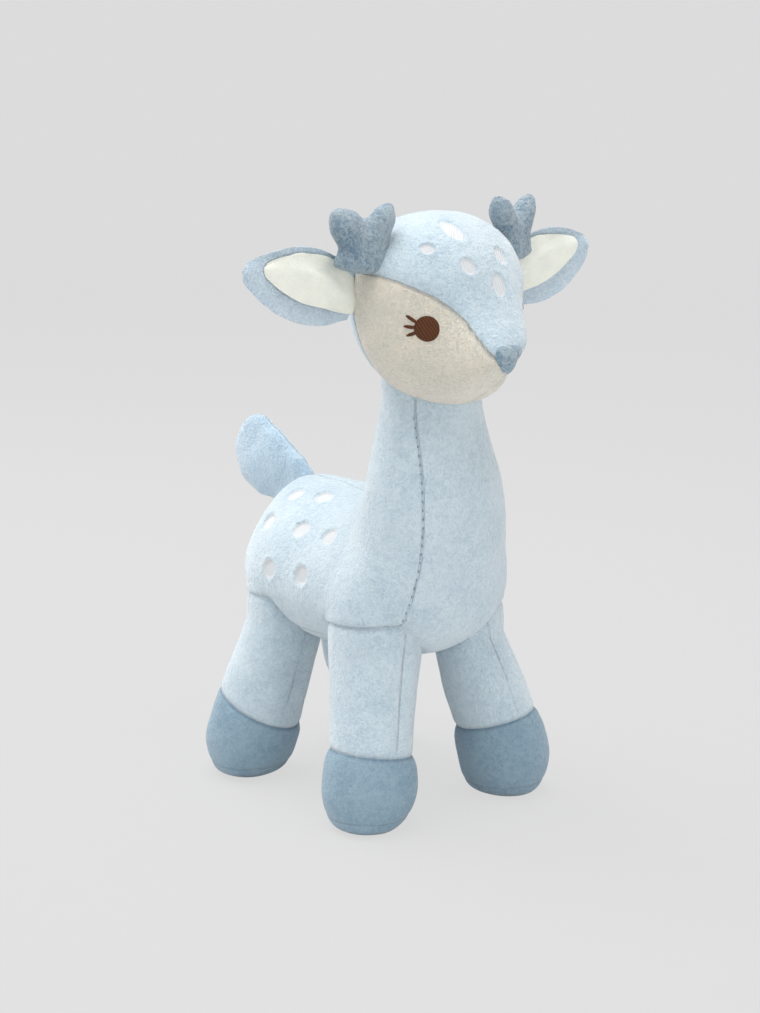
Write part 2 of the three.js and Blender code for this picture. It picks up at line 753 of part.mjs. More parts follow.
function torso() {
  const skin = torsoSurface();
  const rooms = ["front", "rear"]
    .flatMap((end) => [1, -1].map((side) => solid(forSide(legRoom(legAxis(end)), side))))
    .reduce((all, next) => all.add(next));
  const groove = grooveCutters(tailBead, tailBeadHalfLength, tailWag, tailBead * 4)
    .map((geometry) => solid(geometry.applyMatrix4(tailPlace())))
    .reduce((all, next) => all.add(next));
  const cut = (shape) => shape.subtract(rooms).subtract(groove);
  const shell = cut(solid(skin).subtract(solid(inset(skin, fabric))));
  const wide = trunkHalfWidth + overrun;
  const below = sidePrism(gussetOutline(), -wide, wide);
  const gusset = below.intersect(gussetFront(-gap / 2));
  const sides = shell.subtract(below.intersect(gussetFront(gap / 2)));
  const far = new THREE.Vector3(trunkHalfWidth + overrun, trunkLength + overrun, collarHeight + overrun * 2);
  const left = box(new THREE.Vector3(gap / 2, -far.y, 0), far);
  const right = box(new THREE.Vector3(-far.x, -far.y, 0), new THREE.Vector3(-gap / 2, far.y, far.z));
  return [
    piece("side_panel_left", sides.intersect(left), materials.blue),
    piece("side_panel_right", sides.intersect(right), materials.blue),
    piece("belly_gusset", shell.intersect(gusset), materials.blue),
    piece("torso_stuffing", cut(solid(inset(skin, fabric + gap))), materials.fill),
  ];
}

// Neck seam: the ring of ladder stitches round the collar.

const threadRingRadius = neckRadius + gap + threadRadius;

function neckSeam() {
  const ring = new THREE.TorusGeometry(threadRingRadius, threadRadius, 6, 28);
  return [piece("neck_seam_thread", solid(ring.translate(0, neckY, collarHeight)), materials.thread)];
}

// Head panels and stuffing

function headCavity() {
  const pivot = new THREE.Vector3(0, neckY, collarHeight);
  const room = threadRingRadius + threadRadius + gap;
  return ball(pivot, room / Math.cos(Math.PI / trunkSides), trunkSides, 10);
}

// The brow seam in side view, from above the nose, bowed up over the eye, to the ear and past it.
function browOutline(offset) {
  const controls = browSeam.map(
    ([ahead, above]) => new THREE.Vector2(headCentreY + ahead, headCentreZ + above + offset),
  );
  const bow = new THREE.CubicBezierCurve(...controls);
  const seam = bow.getPoints(browSteps).map((point) => [point.x, point.y]);
  const [lastY, lastZ] = seam.at(-1);
  const [firstY, firstZ] = seam[0];
  const top = headCentreZ + headTopReach + overrun;
  return [
    [firstY - overrun, firstZ],
    ...seam,
    [lastY + overrun, lastZ],
    [lastY + overrun, top],
    [firstY - overrun, top],
  ];
}

function browCutter(offset) {
  const reach = headHalfWidth + overrun;
  return sidePrism(browOutline(offset), -reach, reach);
}

// A thin raised patch that lies on the head's surface, where a drill comes out of it.
function patchOn(surface, drill, relief) {
  return solid(inset(surface, -relief - gap)).subtract(solid(inset(surface, -gap))).intersect(drill);
}

function eye(side, surface) {
  const rise = -Math.asin(eyeDrop / headBottomReach);
  const aim = new THREE.Vector3(Math.sin(degrees(eyeTurn)), -Math.cos(degrees(eyeTurn)), 0);
  const swell = Math.cos(rise) ** headSquareness;
  const centre = new THREE.Vector3(
    swell * headHalfWidth * aim.x, headCentreY + swell * headFrontReach * aim.y, headCentreZ - eyeDrop,
  );
  const drill = new THREE.CylinderGeometry(eyeRadius, eyeRadius, headFrontReach, eyeSides);
  drill.applyQuaternion(new THREE.Quaternion().setFromUnitVectors(new THREE.Vector3(0, 1, 0), aim));
  drill.translate(centre.x, centre.y, centre.z);
  const name = "eye" + (side > 0 ? "_left" : "_right");
  return piece(name, patchOn(surface, solid(forSide(drill, side)), eyeRelief), materials.brown);
}

function nose(surface) {
  const half = noseWidth / 2;
  const outline = new THREE.Shape();
  outline.moveTo(-half, 0.2 * noseHeight);
  outline.quadraticCurveTo(-half, 0.5 * noseHeight, -0.4 * half, 0.5 * noseHeight);
  outline.lineTo(0.4 * half, 0.5 * noseHeight);
  outline.quadraticCurveTo(half, 0.5 * noseHeight, half, 0.2 * noseHeight);
  outline.quadraticCurveTo(0.5 * half, -0.45 * noseHeight, 0, -0.5 * noseHeight);
  outline.quadraticCurveTo(-0.5 * half, -0.45 * noseHeight, -half, 0.2 * noseHeight);
  const drill = new THREE.ExtrudeGeometry(outline, {
    depth: muzzleReach + headFrontReach, bevelEnabled: false, curveSegments: 3,
  });
  drill.rotateX(Math.PI / 2).translate(0, headCentreY, muzzleHeight + noseRise);
  return piece("nose_patch", patchOn(surface, solid(drill), noseRelief), materials.slate);
}

function head() {
  const skin = headSurface();
  const cavity = headCavity();
  const place = earPlace();
  const grooves = [1, -1].flatMap((side) =>
    grooveCutters(earBead, earBaseHalfWidth, earFlap, earBead * 4).map((geometry) =>
      solid(forSide(geometry.applyMatrix4(place), side)),
    ),
  );
  const cut = (shape) => grooves.reduce((all, next) => all.subtract(next), shape.subtract(cavity));
  const shell = cut(solid(skin).subtract(solid(inset(skin, fabric))));
  const far = new THREE.Vector3(headHalfWidth + overrun, 0, headCentreZ + headTopReach + overrun);
  const seamY = headCentreY + headBackSeam;
  const behind = box(
    new THREE.Vector3(-far.x, seamY + gap / 2, collarHeight - overrun),
    new THREE.Vector3(far.x, headCentreY + headBackReach + overrun, far.z),
  );
  const ahead = box(
    new THREE.Vector3(-far.x, headCentreY - headFrontReach - muzzleReach - overrun, collarHeight - overrun),
    new THREE.Vector3(far.x, seamY - gap / 2, far.z),
  );
  const faceShell = shell.intersect(ahead);
  const cheeks = faceShell.subtract(browCutter(-gap / 2));
  const left = box(new THREE.Vector3(gap / 2, -overrun * 4, 0), far.clone().setY(overrun));
  const right = box(
    new THREE.Vector3(-far.x, -overrun * 4, 0),
    new THREE.Vector3(-gap / 2, overrun, far.z),
  );
  return [
    piece("forehead_gusset", faceShell.intersect(browCutter(gap / 2)), materials.blue),
    piece("head_back", shell.intersect(behind), materials.blue),
    piece("cheek_left", cheeks.intersect(left), materials.cream),
    piece("cheek_right", cheeks.intersect(right), materials.cream),
    eye(1, skin),
    eye(-1, skin),
    nose(skin),
    piece("head_stuffing", cut(solid(inset(skin, fabric + gap))), materials.fill),
  ];
}

// The part's origin is under the middle of its bounding box.
function centred(group) {
  const box = new THREE.Box3().setFromObject(group);
  const middle = (box.min.y + box.max.y) / 2;
  for (const mesh of group.children) {
    mesh.geometry.translate(0, -middle, 0);
  }
  return group;
}

const deer = new THREE.Group();
deer.add(...torso(), ...neckSeam(), ...head(), ...tail());
const headRoom = solid(inset(headSurface(), -gap));
for (const side of [1, -1]) {
  deer.add(...ear(side), ...antler(side, headRoom));
  for (const end of ["front", "rear"]) {
    deer.add(...leg(end, side));
  }
}

export default centred(deer);
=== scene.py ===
import math
from collections import namedtuple

import bmesh
import bpy
from mathutils import Matrix, Vector, noise
from mathutils.bvhtree import BVHTree
from mathutils.kdtree import KDTree
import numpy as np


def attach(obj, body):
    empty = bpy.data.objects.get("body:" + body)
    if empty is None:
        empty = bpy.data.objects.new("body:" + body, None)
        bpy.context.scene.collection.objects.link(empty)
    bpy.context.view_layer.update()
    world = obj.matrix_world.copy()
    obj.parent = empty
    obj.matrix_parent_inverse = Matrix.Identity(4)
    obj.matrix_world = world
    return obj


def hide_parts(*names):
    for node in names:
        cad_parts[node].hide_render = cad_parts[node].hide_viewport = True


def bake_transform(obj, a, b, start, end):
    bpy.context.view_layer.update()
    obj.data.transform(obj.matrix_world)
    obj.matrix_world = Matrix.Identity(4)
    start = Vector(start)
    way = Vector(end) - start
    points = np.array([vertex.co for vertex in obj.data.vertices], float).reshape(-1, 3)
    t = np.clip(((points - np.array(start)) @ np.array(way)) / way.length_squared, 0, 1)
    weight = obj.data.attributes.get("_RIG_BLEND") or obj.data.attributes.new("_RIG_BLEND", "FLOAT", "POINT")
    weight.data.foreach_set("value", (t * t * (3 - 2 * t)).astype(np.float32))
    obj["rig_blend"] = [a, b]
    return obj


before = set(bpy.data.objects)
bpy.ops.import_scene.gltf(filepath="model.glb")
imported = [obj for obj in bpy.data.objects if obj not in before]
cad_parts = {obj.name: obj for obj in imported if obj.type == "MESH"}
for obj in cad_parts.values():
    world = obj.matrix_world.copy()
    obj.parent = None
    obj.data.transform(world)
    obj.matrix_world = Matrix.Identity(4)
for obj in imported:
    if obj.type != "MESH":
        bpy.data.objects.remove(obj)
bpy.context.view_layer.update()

bl_info = {
    "name": "Plush deer",
    "version": (1, 0, 0),
    "blender": (4, 5, 0),
    "location": "View3D > Sidebar > Plush deer",
    "description": "Dresses the plush deer's packed frame with stuffed, sewn fabric pieces",
    "category": "Object",
}

# Drawing sizes are in millimetres, with the soles on z = 0 and the nose towards -y.
MM = 0.001
CENTRING = Vector((0.0, -7.583, 0.0))
TO_FRAME = Matrix.Scale(MM, 4) @ Matrix.Translation(CENTRING)
SIDEWAYS = Vector((1, 0, 0))
UPWARDS = Vector((0, 0, 1))
SIDES = ((1, "left"), (-1, "right"))
# What later pieces are laid on, by name
SURFACES = {}


def placed(x, y, z):
    """A drawing point as a point of the frame, in metres."""
    return TO_FRAME @ Vector((x, y, z))


def linear(red, green, blue):
    """A colour as read off a screen, 0 to 255, as Blender's own linear values."""
    return tuple(
        c / 3294.6 if c <= 10 else ((c / 255 + 0.055) / 1.055) ** 2.4 for c in (red, green, blue)
    )


# Settings


def length(name, description, millimetres):
    return bpy.props.FloatProperty(
        name=name, description=description, default=millimetres * MM, min=0.0, unit="LENGTH", precision=4
    )


def watts(name, description, power):
    return bpy.props.FloatProperty(
        name=name, description=description, default=power, min=0.0, unit="POWER"
    )


def colour(name, description, red, green, blue):
    shown = linear(red, green, blue)
    return bpy.props.FloatVectorProperty(
        name=name, description=description, default=shown, min=0.0, max=1.0, size=3, subtype="COLOR"
    )


class DeerSizes(bpy.types.PropertyGroup):
    """Sizes of the stuffed forms."""

    trunk_length: length("Trunk length", "From the chest's front to the rump", 147)
    back_height: length("Back height", "From the floor to the top of the back", 143.5)
    belly_height: length("Belly height", "From the floor to the belly", 68)
    trunk_half_width: length("Trunk half width", "From the middle to the flank", 45)
    chest_reach: length("Chest reach", "From the neck's middle forward to the chest", 31.5)
    neck_radius: length("Neck radius", "Half the neck's width at the collar", 23)
    collar_height: length("Collar height", "From the floor to the seam under the head", 196)
    leg_radius: length("Leg radius", "Half a leg's width at the ankle", 19.6)
    hip_radius: length("Hip radius", "Half a leg's width where it enters the body", 21.5)
    ankle_height: length("Ankle height", "From the floor to the top of a hoof", 35)
    sole_height: length("Sole height", "From the floor to the seam round a sole", 5)
    head_half_width: length("Head half width", "From the middle to a cheek", 42)
    ear_length: length("Ear length", "From the head to an ear's tip", 61)
    ear_half_width: length("Ear half width", "From an ear's middle to its edge", 16.5)
    tail_length: length("Tail length", "From the rump to the tail's tip", 48)
    tail_half_width: length("Tail half width", "From the tail's middle to its edge", 21.5)


class DeerColours(bpy.types.PropertyGroup):
    """Colours of the fabrics and threads."""

    blue: colour("Body blue", "Short pile of the body, head top and legs", 203, 218, 226)
    sky: colour("Tail blue", "Short pile of the tail", 183, 206, 222)
    # The nose is sewn from the same trim as the hooves and antlers. Its lighter grey is partly its own paler
    # tone and partly painted light that lifts the shade on the down-facing nose.
    nose: colour("Nose grey", "Short pile of the nose", 186, 198, 203)
    ear: colour("Ear blue", "Short pile of the ear backs", 200, 216, 227)
    cream: colour("Cheek cream", "Brushed pile of the cheeks", 241, 233, 216)
    ivory: colour("Ear ivory", "Smooth lining of the ears", 235, 236, 225)
    slate: colour("Hoof slate", "Short pile of the hooves", 142, 165, 179)
    grey: colour("Antler grey", "Short pile of the antlers", 160, 175, 184)
    brown: colour("Eye brown", "Satin stitches of the eyes and lashes", 104, 58, 28)
    white: colour("Spot white", "Satin stitches of the spots", 230, 233, 236)
    thread: colour("Seam thread", "Stitches of the chest and neck seams", 148, 174, 193)
    floor: colour("Floor", "Paper under and behind the deer", 220, 220, 220)


class DeerFinish(bpy.types.PropertyGroup):
    """How deep the sewn and brushed details are, and how strong the lamps."""

    seam_depth: length("Seam depth", "How far a seam pulls the pile in", 0.9)
    seam_width: length("Seam width", "How far a seam's pull reaches to each side", 1.6)
    pile_height: length("Pile height", "Height of the fibres that catch the light", 0.9)
    key_watts: watts("Key light", "Power of the large lamp overhead", 23.0)
    fill_watts: watts("Fill light", "Power of the large lamp ahead of the deer", 8.0)
    back_watts: watts("Back light", "Power of the large lamp behind the deer's right", 9.0)
    sky_strength: bpy.props.FloatProperty(
        name="Room light", description="Strength of the even light all round", default=0.62, min=0.0
    )


def size(name):
    """A size in millimetres."""
    return getattr(bpy.context.scene.deer_sizes, name) / MM


def finish(name):
    return getattr(bpy.context.scene.deer_finish, name)


def tone(name):
    """A colour as a node's socket takes it."""
    return (*getattr(bpy.context.scene.deer_colours, name), 1.0)


# Curves and forms

# The distance that stands for no seam near by, and how far a seam that isn't pulled in at all seems to lie,
# so that its painted shade is fainter
FAR = 9.0
UNSEWN = 0.7


def spline(points, at, power):
    """The point at a share of a smooth curve through points.

    A power of 0.5 keeps uneven spacing from overshooting.
    """
    last = len(points) - 1
    place = max(0.0, min(1.0, at)) * last
    i = min(int(place), last - 1)
    share = place - i
    b, c = points[i], points[i + 1]
    a = points[i - 1] if i > 0 else 2 * b - c
    d = points[i + 2] if i + 2 <= last else 2 * c - b
    steps = [max(1e-4, (q - p).length) ** power for p, q in ((a, b), (b, c), (c, d))]
    start = (b - a) / steps[0] - (c - a) / (steps[0] + steps[1]) + (c - b) / steps[1]
    end = (c - b) / steps[1] - (d - b) / (steps[1] + steps[2]) + (d - c) / steps[2]
    start, end = start * steps[1], end * steps[1]
    square, cube = 3 * (c - b) - 2 * start - end, 2 * (b - c) + start + end
    return b + start * share + square * share**2 + cube * share**3


def between(rows, at):
    """Reads a table of (place, value, ...) rows at a place, straight from row to row."""
    if at <= rows[0][0]:
        return rows[0][1:]
    for low, high in zip(rows, rows[1:]):
        if at <= high[0]:
            share = (at - low[0]) / (high[0] - low[0])
            return [p + (q - p) * share for p, q in zip(low[1:], high[1:])]
    return rows[-1][1:]


def smooth(low, high, value):
    """An eased share of the way from low to high, which may also fall."""
    t = max(0.0, min(1.0, (value - low) / (high - low)))
    return t * t * (3 - 2 * t)


def bearing(place):
    """The cosine and sine of a point's turn about the z axis, both 0 on the axis."""
    flat = math.hypot(place.x, place.y)
    return (place.x / flat, place.y / flat) if flat > 1e-6 else (0.0, 0.0)


def pouch(around, along, point_at):
    """A closed form: a round whose every point is moved to point_at(cosine, sine, share of the way)."""
    bm = bmesh.new()
    bmesh.ops.create_uvsphere(bm, u_segments=around, v_segments=along, radius=1.0)
    for v in bm.verts:
        share = math.acos(max(-1.0, min(1.0, v.co.z))) / math.pi
        v.co = point_at(*bearing(v.co), share)
    bmesh.ops.recalc_face_normals(bm, faces=bm.faces)
    if bm.calc_volume(signed=True) < 0:
        bmesh.ops.reverse_faces(bm, faces=bm.faces)
    bm.normal_update()
    return bm


def skin_of(bm):
    """The surface of a form that is needed for nothing else."""
    tree = BVHTree.FromBMesh(bm)
    bm.free()
    return tree


def dip(distance, depth, width):
    return -depth * math.exp(-((distance / width) ** 2))


def swell(place, centre, reach, height):
    """A rise round a centre; an axis whose reach is None isn't looked at."""
    away = sum(((p - c) / r) ** 2 for p, c, r in zip(place, centre, reach) if r is not None)
    return height * math.exp(-away)


def stuffing(seed, *swells):
    """Uneven stuffing: a sum of swells, each with its spacing and its height."""

    def move(place, normal):
        shift = Vector((seed, 3.1 * seed, 7.7))
        return sum(height * noise.noise(place / spacing + shift) for spacing, height in swells)

    return move


def worked(bm, moves, seam=None):
    """Moves each point along its normal by the sum of the moves, and keeps its distance to the nearest seam,
    along which the pile gets painted shade.

    A seam gives that distance and the share of its full depth that it is sewn to.
    """
    bm.normal_update()
    layer = bm.verts.layers.float.new("seam")
    depth, width = finish("seam_depth") / MM, finish("seam_width") / MM
    shifts = []
    for v in bm.verts:
        away, share = seam(v.co, v.normal) if seam else (FAR, 1.0)
        v[layer] = min(FAR, abs(away) + UNSEWN * (1 - share))
        pull = dip(away, share * depth, width)
        shifts.append(v.normal * (pull + sum(move(v.co, v.normal) for move in moves)))
    for v, shift in zip(bm.verts, shifts):
        v.co += shift
    bm.normal_update()


def across(value, slope, normal):
    """A value's distance along the surface, from its slope in space and the surface's normal."""
    flat = slope - normal * slope.dot(normal)
    return value / max(0.3, flat.length)


def beside(aim):
    """The level direction and the rising one on a surface that faces an aim."""
    right = UPWARDS.cross(aim).normalized()
    return right, aim.cross(right).normalized()


def moved(bm, place):
    """Puts a form in its place, which may mirror it, with its faces pointing out."""
    bmesh.ops.transform(bm, matrix=place, verts=bm.verts)
    bmesh.ops.recalc_face_normals(bm, faces=bm.faces)


def mesh_of(name, bm):
    mesh = bpy.data.meshes.new(name)
    bm.to_mesh(mesh)
    bm.free()
    return mesh


def linked(name, data):
    """A new object of the scene."""
    piece = bpy.data.objects.new(name, data)
    bpy.context.scene.collection.objects.link(piece)
    return piece


def made(name, bm, fabric):
    """The finished piece: its place in its mesh, its object at the origin."""
    bmesh.ops.transform(bm, matrix=TO_FRAME, verts=bm.verts)
    mesh = mesh_of(name, bm)
    mesh.shade_smooth()
    mesh.materials.append(cloth(fabric))
    return linked(name, mesh)


def padded(piece, slot, fill, *nodes):
    """Hides the CAD nodes that a stuffed piece stands for, and gives back the piece."""
    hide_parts(*nodes)
    return piece


def crossing(edge, layer):
    """The share of an edge at which its value crosses zero, or None."""
    a, b = (v[layer] for v in edge.verts)
    return a / (a - b) if a * b < 0 else None


def parted(bm, values):
    """Cuts the faces where a value per point crosses zero, and keeps the value in a layer."""
    layer = bm.verts.layers.float.new("parting")
    for v in bm.verts:
        v[layer] = values(v.co)
    on_line = set()

    def put_on_line(v, place):
        v.co = place
        v[layer] = 0.0
        on_line.add(v)

    # Ends close to the crossing are moved onto it first, so that no sliver is cut.
    for edge in list(bm.edges):
        a, b = edge.verts
        share = crossing(edge, layer)
        if share is not None and (share < 0.2 or share > 0.8):
            put_on_line(a if share < 0.2 else b, a.co.lerp(b.co, share))
    for edge in list(bm.edges):
        a, b = edge.verts
        share = crossing(edge, layer)
        if share is not None:
            place = a.co.lerp(b.co, share)
            put_on_line(bmesh.utils.edge_split(edge, a, share)[1], place)
    bmesh.ops.connect_verts(bm, verts=list(on_line))


def half_of(bm, sign, roll):
    """The part of a form on one side of its parting line, its edge rolled in and closed."""
    part = bm.copy()
    layer = part.verts.layers.float["parting"]
    other = [f for f in part.faces if sign * sum(v[layer] for v in f.verts) <= 0]
    bmesh.ops.delete(part, geom=other, context="FACES")
    part.normal_update()
    rim = [e for e in part.edges if e.is_boundary]
    rolled = bmesh.ops.extrude_edge_only(part, edges=rim)
    turned = {v for v in rolled["geom"] if isinstance(v, bmesh.types.BMVert)}
    for v in {v for edge in rim for v in edge.verts}:
        for inner in (link.other_vert(v) for link in v.link_edges):
            if inner in turned:
                inner.co -= v.normal * roll
    bmesh.ops.holes_fill(part, edges=[e for e in part.edges if e.is_boundary], sides=0)
    bmesh.ops.recalc_face_normals(part, faces=part.faces)
    return part


# Fabric and thread


class Builder:
    """Adds nodes to one tree."""

    def __init__(self, tree):
        self.tree = tree

    def link(self, value, socket):
        """Links a socket to another, or sets its own value."""
        if isinstance(value, bpy.types.NodeSocket):
            self.tree.links.new(value, socket)
        else:
            socket.default_value = value

    def feed(self, node, inputs):
        for name, value in inputs.items():
            self.link(value, node.inputs[name])

    def node(self, kind, inputs=None, **settings):
        """A new node with its settings, and its inputs linked or set."""
        node = self.tree.nodes.new(kind)
        for name, value in settings.items():
            setattr(node, name, value)
        self.feed(node, inputs or {})
        return node

    def place(self):
        return self.node("ShaderNodeTexCoord").outputs["Object"]

    def noise(self, place, scale, detail, roughness, distortion):
        inputs = {
            "Vector": place,
            "Scale": scale,
            "Detail": detail,
            "Roughness": roughness,
            "Distortion": distortion,
        }
        return self.node("ShaderNodeTexNoise", inputs).outputs["Fac"]

    def maths(self, operation, a, b):
        return self.node("ShaderNodeMath", {0: a, 1: b}, operation=operation).outputs[0]

    def add(self, a, b):
        return self.maths("ADD", a, b)

    def subtract(self, a, b):
        return self.maths("SUBTRACT", a, b)

    def times(self, a, b):
        return self.maths("MULTIPLY", a, b)

    def mapped(self, value, low, high, to_low, to_high):
        inputs = {"Value": value, "From Min": low, "From Max": high, "To Min": to_low, "To Max": to_high}
        return self.node("ShaderNodeMapRange", inputs).outputs["Result"]

    def mix(self, kind, share, a, b):
        inputs = {0: share, 6: a, 7: b}
        return self.node("ShaderNodeMix", inputs, data_type="RGBA", blend_type=kind).outputs[2]

    def seen(self):
        """1 where the eye or a gloss looks, and 0 where light falls."""
        paths = self.node("ShaderNodeLightPath").outputs
        seen = self.maths("MAXIMUM", paths["Is Camera Ray"], paths["Is Glossy Ray"])
        return self.maths("MAXIMUM", seen, paths["Is Transmission Ray"])


def new_group(name, inputs):
    """An empty node group that will put out a colour and a height, its builder and its inputs."""
    group = bpy.data.node_groups.new(name, "ShaderNodeTree")
    for label, kind, default in inputs:
        socket = group.interface.new_socket(label, in_out="INPUT", socket_type=kind)
        socket.default_value = default
    group.interface.new_socket("Color", in_out="OUTPUT", socket_type="NodeSocketColor")
    group.interface.new_socket("Height", in_out="OUTPUT", socket_type="NodeSocketFloat")
    build = Builder(group)
    return group, build, build.node("NodeGroupInput").outputs


def pile_group():
    """Short pile: fibres, clumps and broad brushed patches, as a colour and a height, with painted shade
    along the seams.
    """
    group, build, given = new_group(
        "short pile",
        (
            ("Color", "NodeSocketColor", (0.6, 0.7, 0.8, 1.0)),
            ("Fibres per metre", "NodeSocketFloat", 900.0),
            ("Clumps per metre", "NodeSocketFloat", 260.0),
            ("Shade", "NodeSocketFloat", 0.2),
            ("Seam distance", "NodeSocketFloat", FAR),
        ),
    )
    place = build.place()
    fibre = build.noise(place, given["Fibres per metre"], 3.0, 0.65, 0.4)
    clump = build.noise(place, given["Clumps per metre"], 2.0, 0.5, 0.8)
    broad = build.noise(place, 45.0, 2.0, 0.5, 0.3)
    height = build.add(build.times(fibre, 0.55), build.times(clump, 0.45))
    light = build.mapped(height, 0.38, 0.6, 0.0, 1.0)
    patch = build.mapped(broad, 0.3, 0.7, -0.35, 0.35)
    dark = build.times(build.subtract(1.0, build.add(light, patch)), given["Shade"])
    # Painted shade: the pile is darkened along each seam's groove, more where the seam is pulled in deeper;
    # the same value also sinks the height for the bump.
    seam = build.mapped(given["Seam distance"], 0.15, 1.1, 1.0, 0.0)
    dark = build.add(dark, build.times(seam, 0.34))
    tint = build.mix("MULTIPLY", dark, given["Color"], (0.36, 0.5, 0.62, 1.0))
    height = build.subtract(height, build.times(seam, 0.8))
    build.node("NodeGroupOutput", {"Color": tint, "Height": height})
    return group


def satin_group():
    """Satin stitches: close parallel threads, slightly uneven, as a colour and a height."""
    group, build, given = new_group(
        "satin stitches",
        (
            ("Color", "NodeSocketColor", (0.5, 0.5, 0.5, 1.0)),
            ("Turn", "NodeSocketVector", (0.0, 0.0, 0.0)),
            ("Threads per metre", "NodeSocketFloat", 400.0),
            ("Shade", "NodeSocketFloat", 0.4),
        ),
    )
    place = build.place()
    turned = build.node("ShaderNodeMapping", {"Vector": place, "Rotation": given["Turn"]})
    threads = {
        "Vector": turned.outputs["Vector"],
        "Scale": given["Threads per metre"],
        "Distortion": 1.2,
        "Detail": 1.0,
        "Detail Scale": 0.6,
    }
    wave = build.node("ShaderNodeTexWave", threads, wave_type="BANDS", bands_direction="X")
    uneven = build.noise(place, 700.0, 2.0, 0.5, 0.0)
    height = build.add(build.times(wave.outputs["Fac"], 0.7), build.times(uneven, 0.3))
    dark = build.times(build.subtract(1.0, height), given["Shade"])
    tint = build.mix("MULTIPLY", dark, given["Color"], (0.12, 0.12, 0.12, 1.0))
    build.node("NodeGroupOutput", {"Color": tint, "Height": height})
    return group


def surfaced(name, group, roughness, sheen, bump, values):
    """A material whose colour and height come from a node group with its own values."""
    material = bpy.data.materials.new(name)
    material.use_nodes = True
    build = Builder(material.node_tree)
    inner = build.node("ShaderNodeGroup", values, node_tree=group)
    relief = build.node(
        "ShaderNodeBump", {"Strength": 1.0, "Distance": bump, "Height": inner.outputs["Height"]}
    )
    build.feed(
        material.node_tree.nodes["Principled BSDF"],
        {
            "Roughness": roughness,
            "Sheen Weight": sheen,
            "Sheen Roughness": 0.45,
            "Specular IOR Level": 0.25,
            "Base Color": inner.outputs["Color"],
            "Normal": relief.outputs["Normal"],
        },
    )
    return inner, build


def plush(name, hue, fibres=1000.0, clumps=450.0, shade=0.37, pile=1.7, sheen=0.8):
    """Short-pile fabric in one of the fabric colours."""
    group = bpy.data.node_groups.get("short pile") or pile_group()
    values = {
        "Color": tone(hue),
        "Fibres per metre": fibres,
        "Clumps per metre": clumps,
        "Shade": shade,
    }
    inner, build = surfaced(name, group, 0.9, sheen, finish("pile_height") * pile, values)
    # The seam distance kept on the mesh, which drives the painted shade and the sunken pile along the seams.
    seam = build.node("ShaderNodeAttribute", attribute_name="seam")
    build.link(seam.outputs["Fac"], inner.inputs["Seam distance"])


def satin(name, hue, turn, threads, shade=0.4, roughness=0.45, relief=0.0003):
    """Embroidery in one of the thread colours."""
    group = bpy.data.node_groups.get("satin stitches") or satin_group()
    values = {"Color": tone(hue), "Turn": turn, "Threads per metre": threads, "Shade": shade}
    surfaced(name, group, roughness, 0.0, relief, values)


# Each fabric's colour, and where it differs from plain short pile
FABRICS = {
    "body blue plush": {"hue": "blue"},
    "tail sky plush": {"hue": "sky"},
    "ear back plush": {"hue": "ear"},
    "hoof slate plush": {"hue": "slate", "shade": 0.42, "pile": 1.1, "sheen": 0.3},
    "cheek cream plush": {"hue": "cream", "clumps": 520.0, "shade": 0.25, "pile": 3.4},
    "antler grey plush": {
        "hue": "grey", "fibres": 900.0, "clumps": 330.0, "shade": 0.85, "pile": 2.4, "sheen": 0.4
    },
    # The nose's lighter grey is partly its own tone and partly painted light against the shade where it faces
    # down.
    "nose grey plush": {
        "hue": "nose", "fibres": 900.0, "clumps": 330.0, "shade": 0.8, "pile": 2.4, "sheen": 0.5
    },
    "ear lining plush": {
        "hue": "ivory", "fibres": 1100.0, "clumps": 120.0, "shade": 0.14, "pile": 0.5, "sheen": 0.2
    },
}
# Each thread's colour, the way it runs, and where it differs from plain satin
THREADS = {
    "spot satin": {"hue": "white", "turn": (0.3, 0.2, 0.9), "threads": 520, "shade": 0.26, "roughness": 0.36},
    "eye satin": {"hue": "brown", "turn": (0.5, 0.4, 0.6), "threads": 260, "shade": 0.75, "roughness": 0.5},
    "seam thread": {"hue": "thread", "turn": (0, 0, 0), "threads": 900},
}


def cloth(name):
    """The material of a fabric or a thread, made when it is first asked for."""
    if name not in bpy.data.materials:
        if name in FABRICS:
            plush(name, **FABRICS[name])
        else:
            satin(name, **THREADS[name])
    return bpy.data.materials[name]


# Trunk and neck

# Dorsal length and height, ventral length and height, half width, from the rump forward
TRUNK_SHARES = (
    (1.0, 0.4, 1.0, 0.39, 0.02),
    (0.985, 0.62, 0.97, 0.2, 0.54),
    (0.93, 0.82, 0.89, 0.06, 0.77),
    (0.83, 0.965, 0.76, 0.0, 0.92),
    (0.7, 1.0, 0.62, 0.0, 1.0),
    (0.57, 0.985, 0.47, 0.0, 1.0),
    (0.45, 0.985, 0.32, 0.02, 0.98),
    (0.385, 1.03, 0.19, 0.08, 0.92),
)
# Dorsal rise and radius, ventral rise and radius, half width, from the shoulders up
NECK_SHARES = (
    (0.2, 1.07, -1.05, 1.02, 1.68),
    (0.34, 1.0, -0.6, 1.28, 1.55),
    (0.48, 0.98, -0.2, 1.36, 1.46),
    (0.64, 0.98, 0.18, 1.33, 1.28),
    (0.8, 0.98, 0.52, 1.16, 1.1),
    (0.9, 0.98, 0.82, 1.0, 1.0),
    (1.0, 0.98, 1.0, 0.97, 0.97),
)
NECK_Y = -42.0
# Points round the form and along it, for a first look and for the piece
TRUNK_PROBE, TRUNK_MESH = (96, 128), (256, 384)
# The height at which the neck's cloth begins to bend
NECK_BEND = 172
# How much wider the trunk is below its middle, and the share of the mesh below the dome inside the head
PEAR = 0.1
TRUNK_SHARE = 0.92
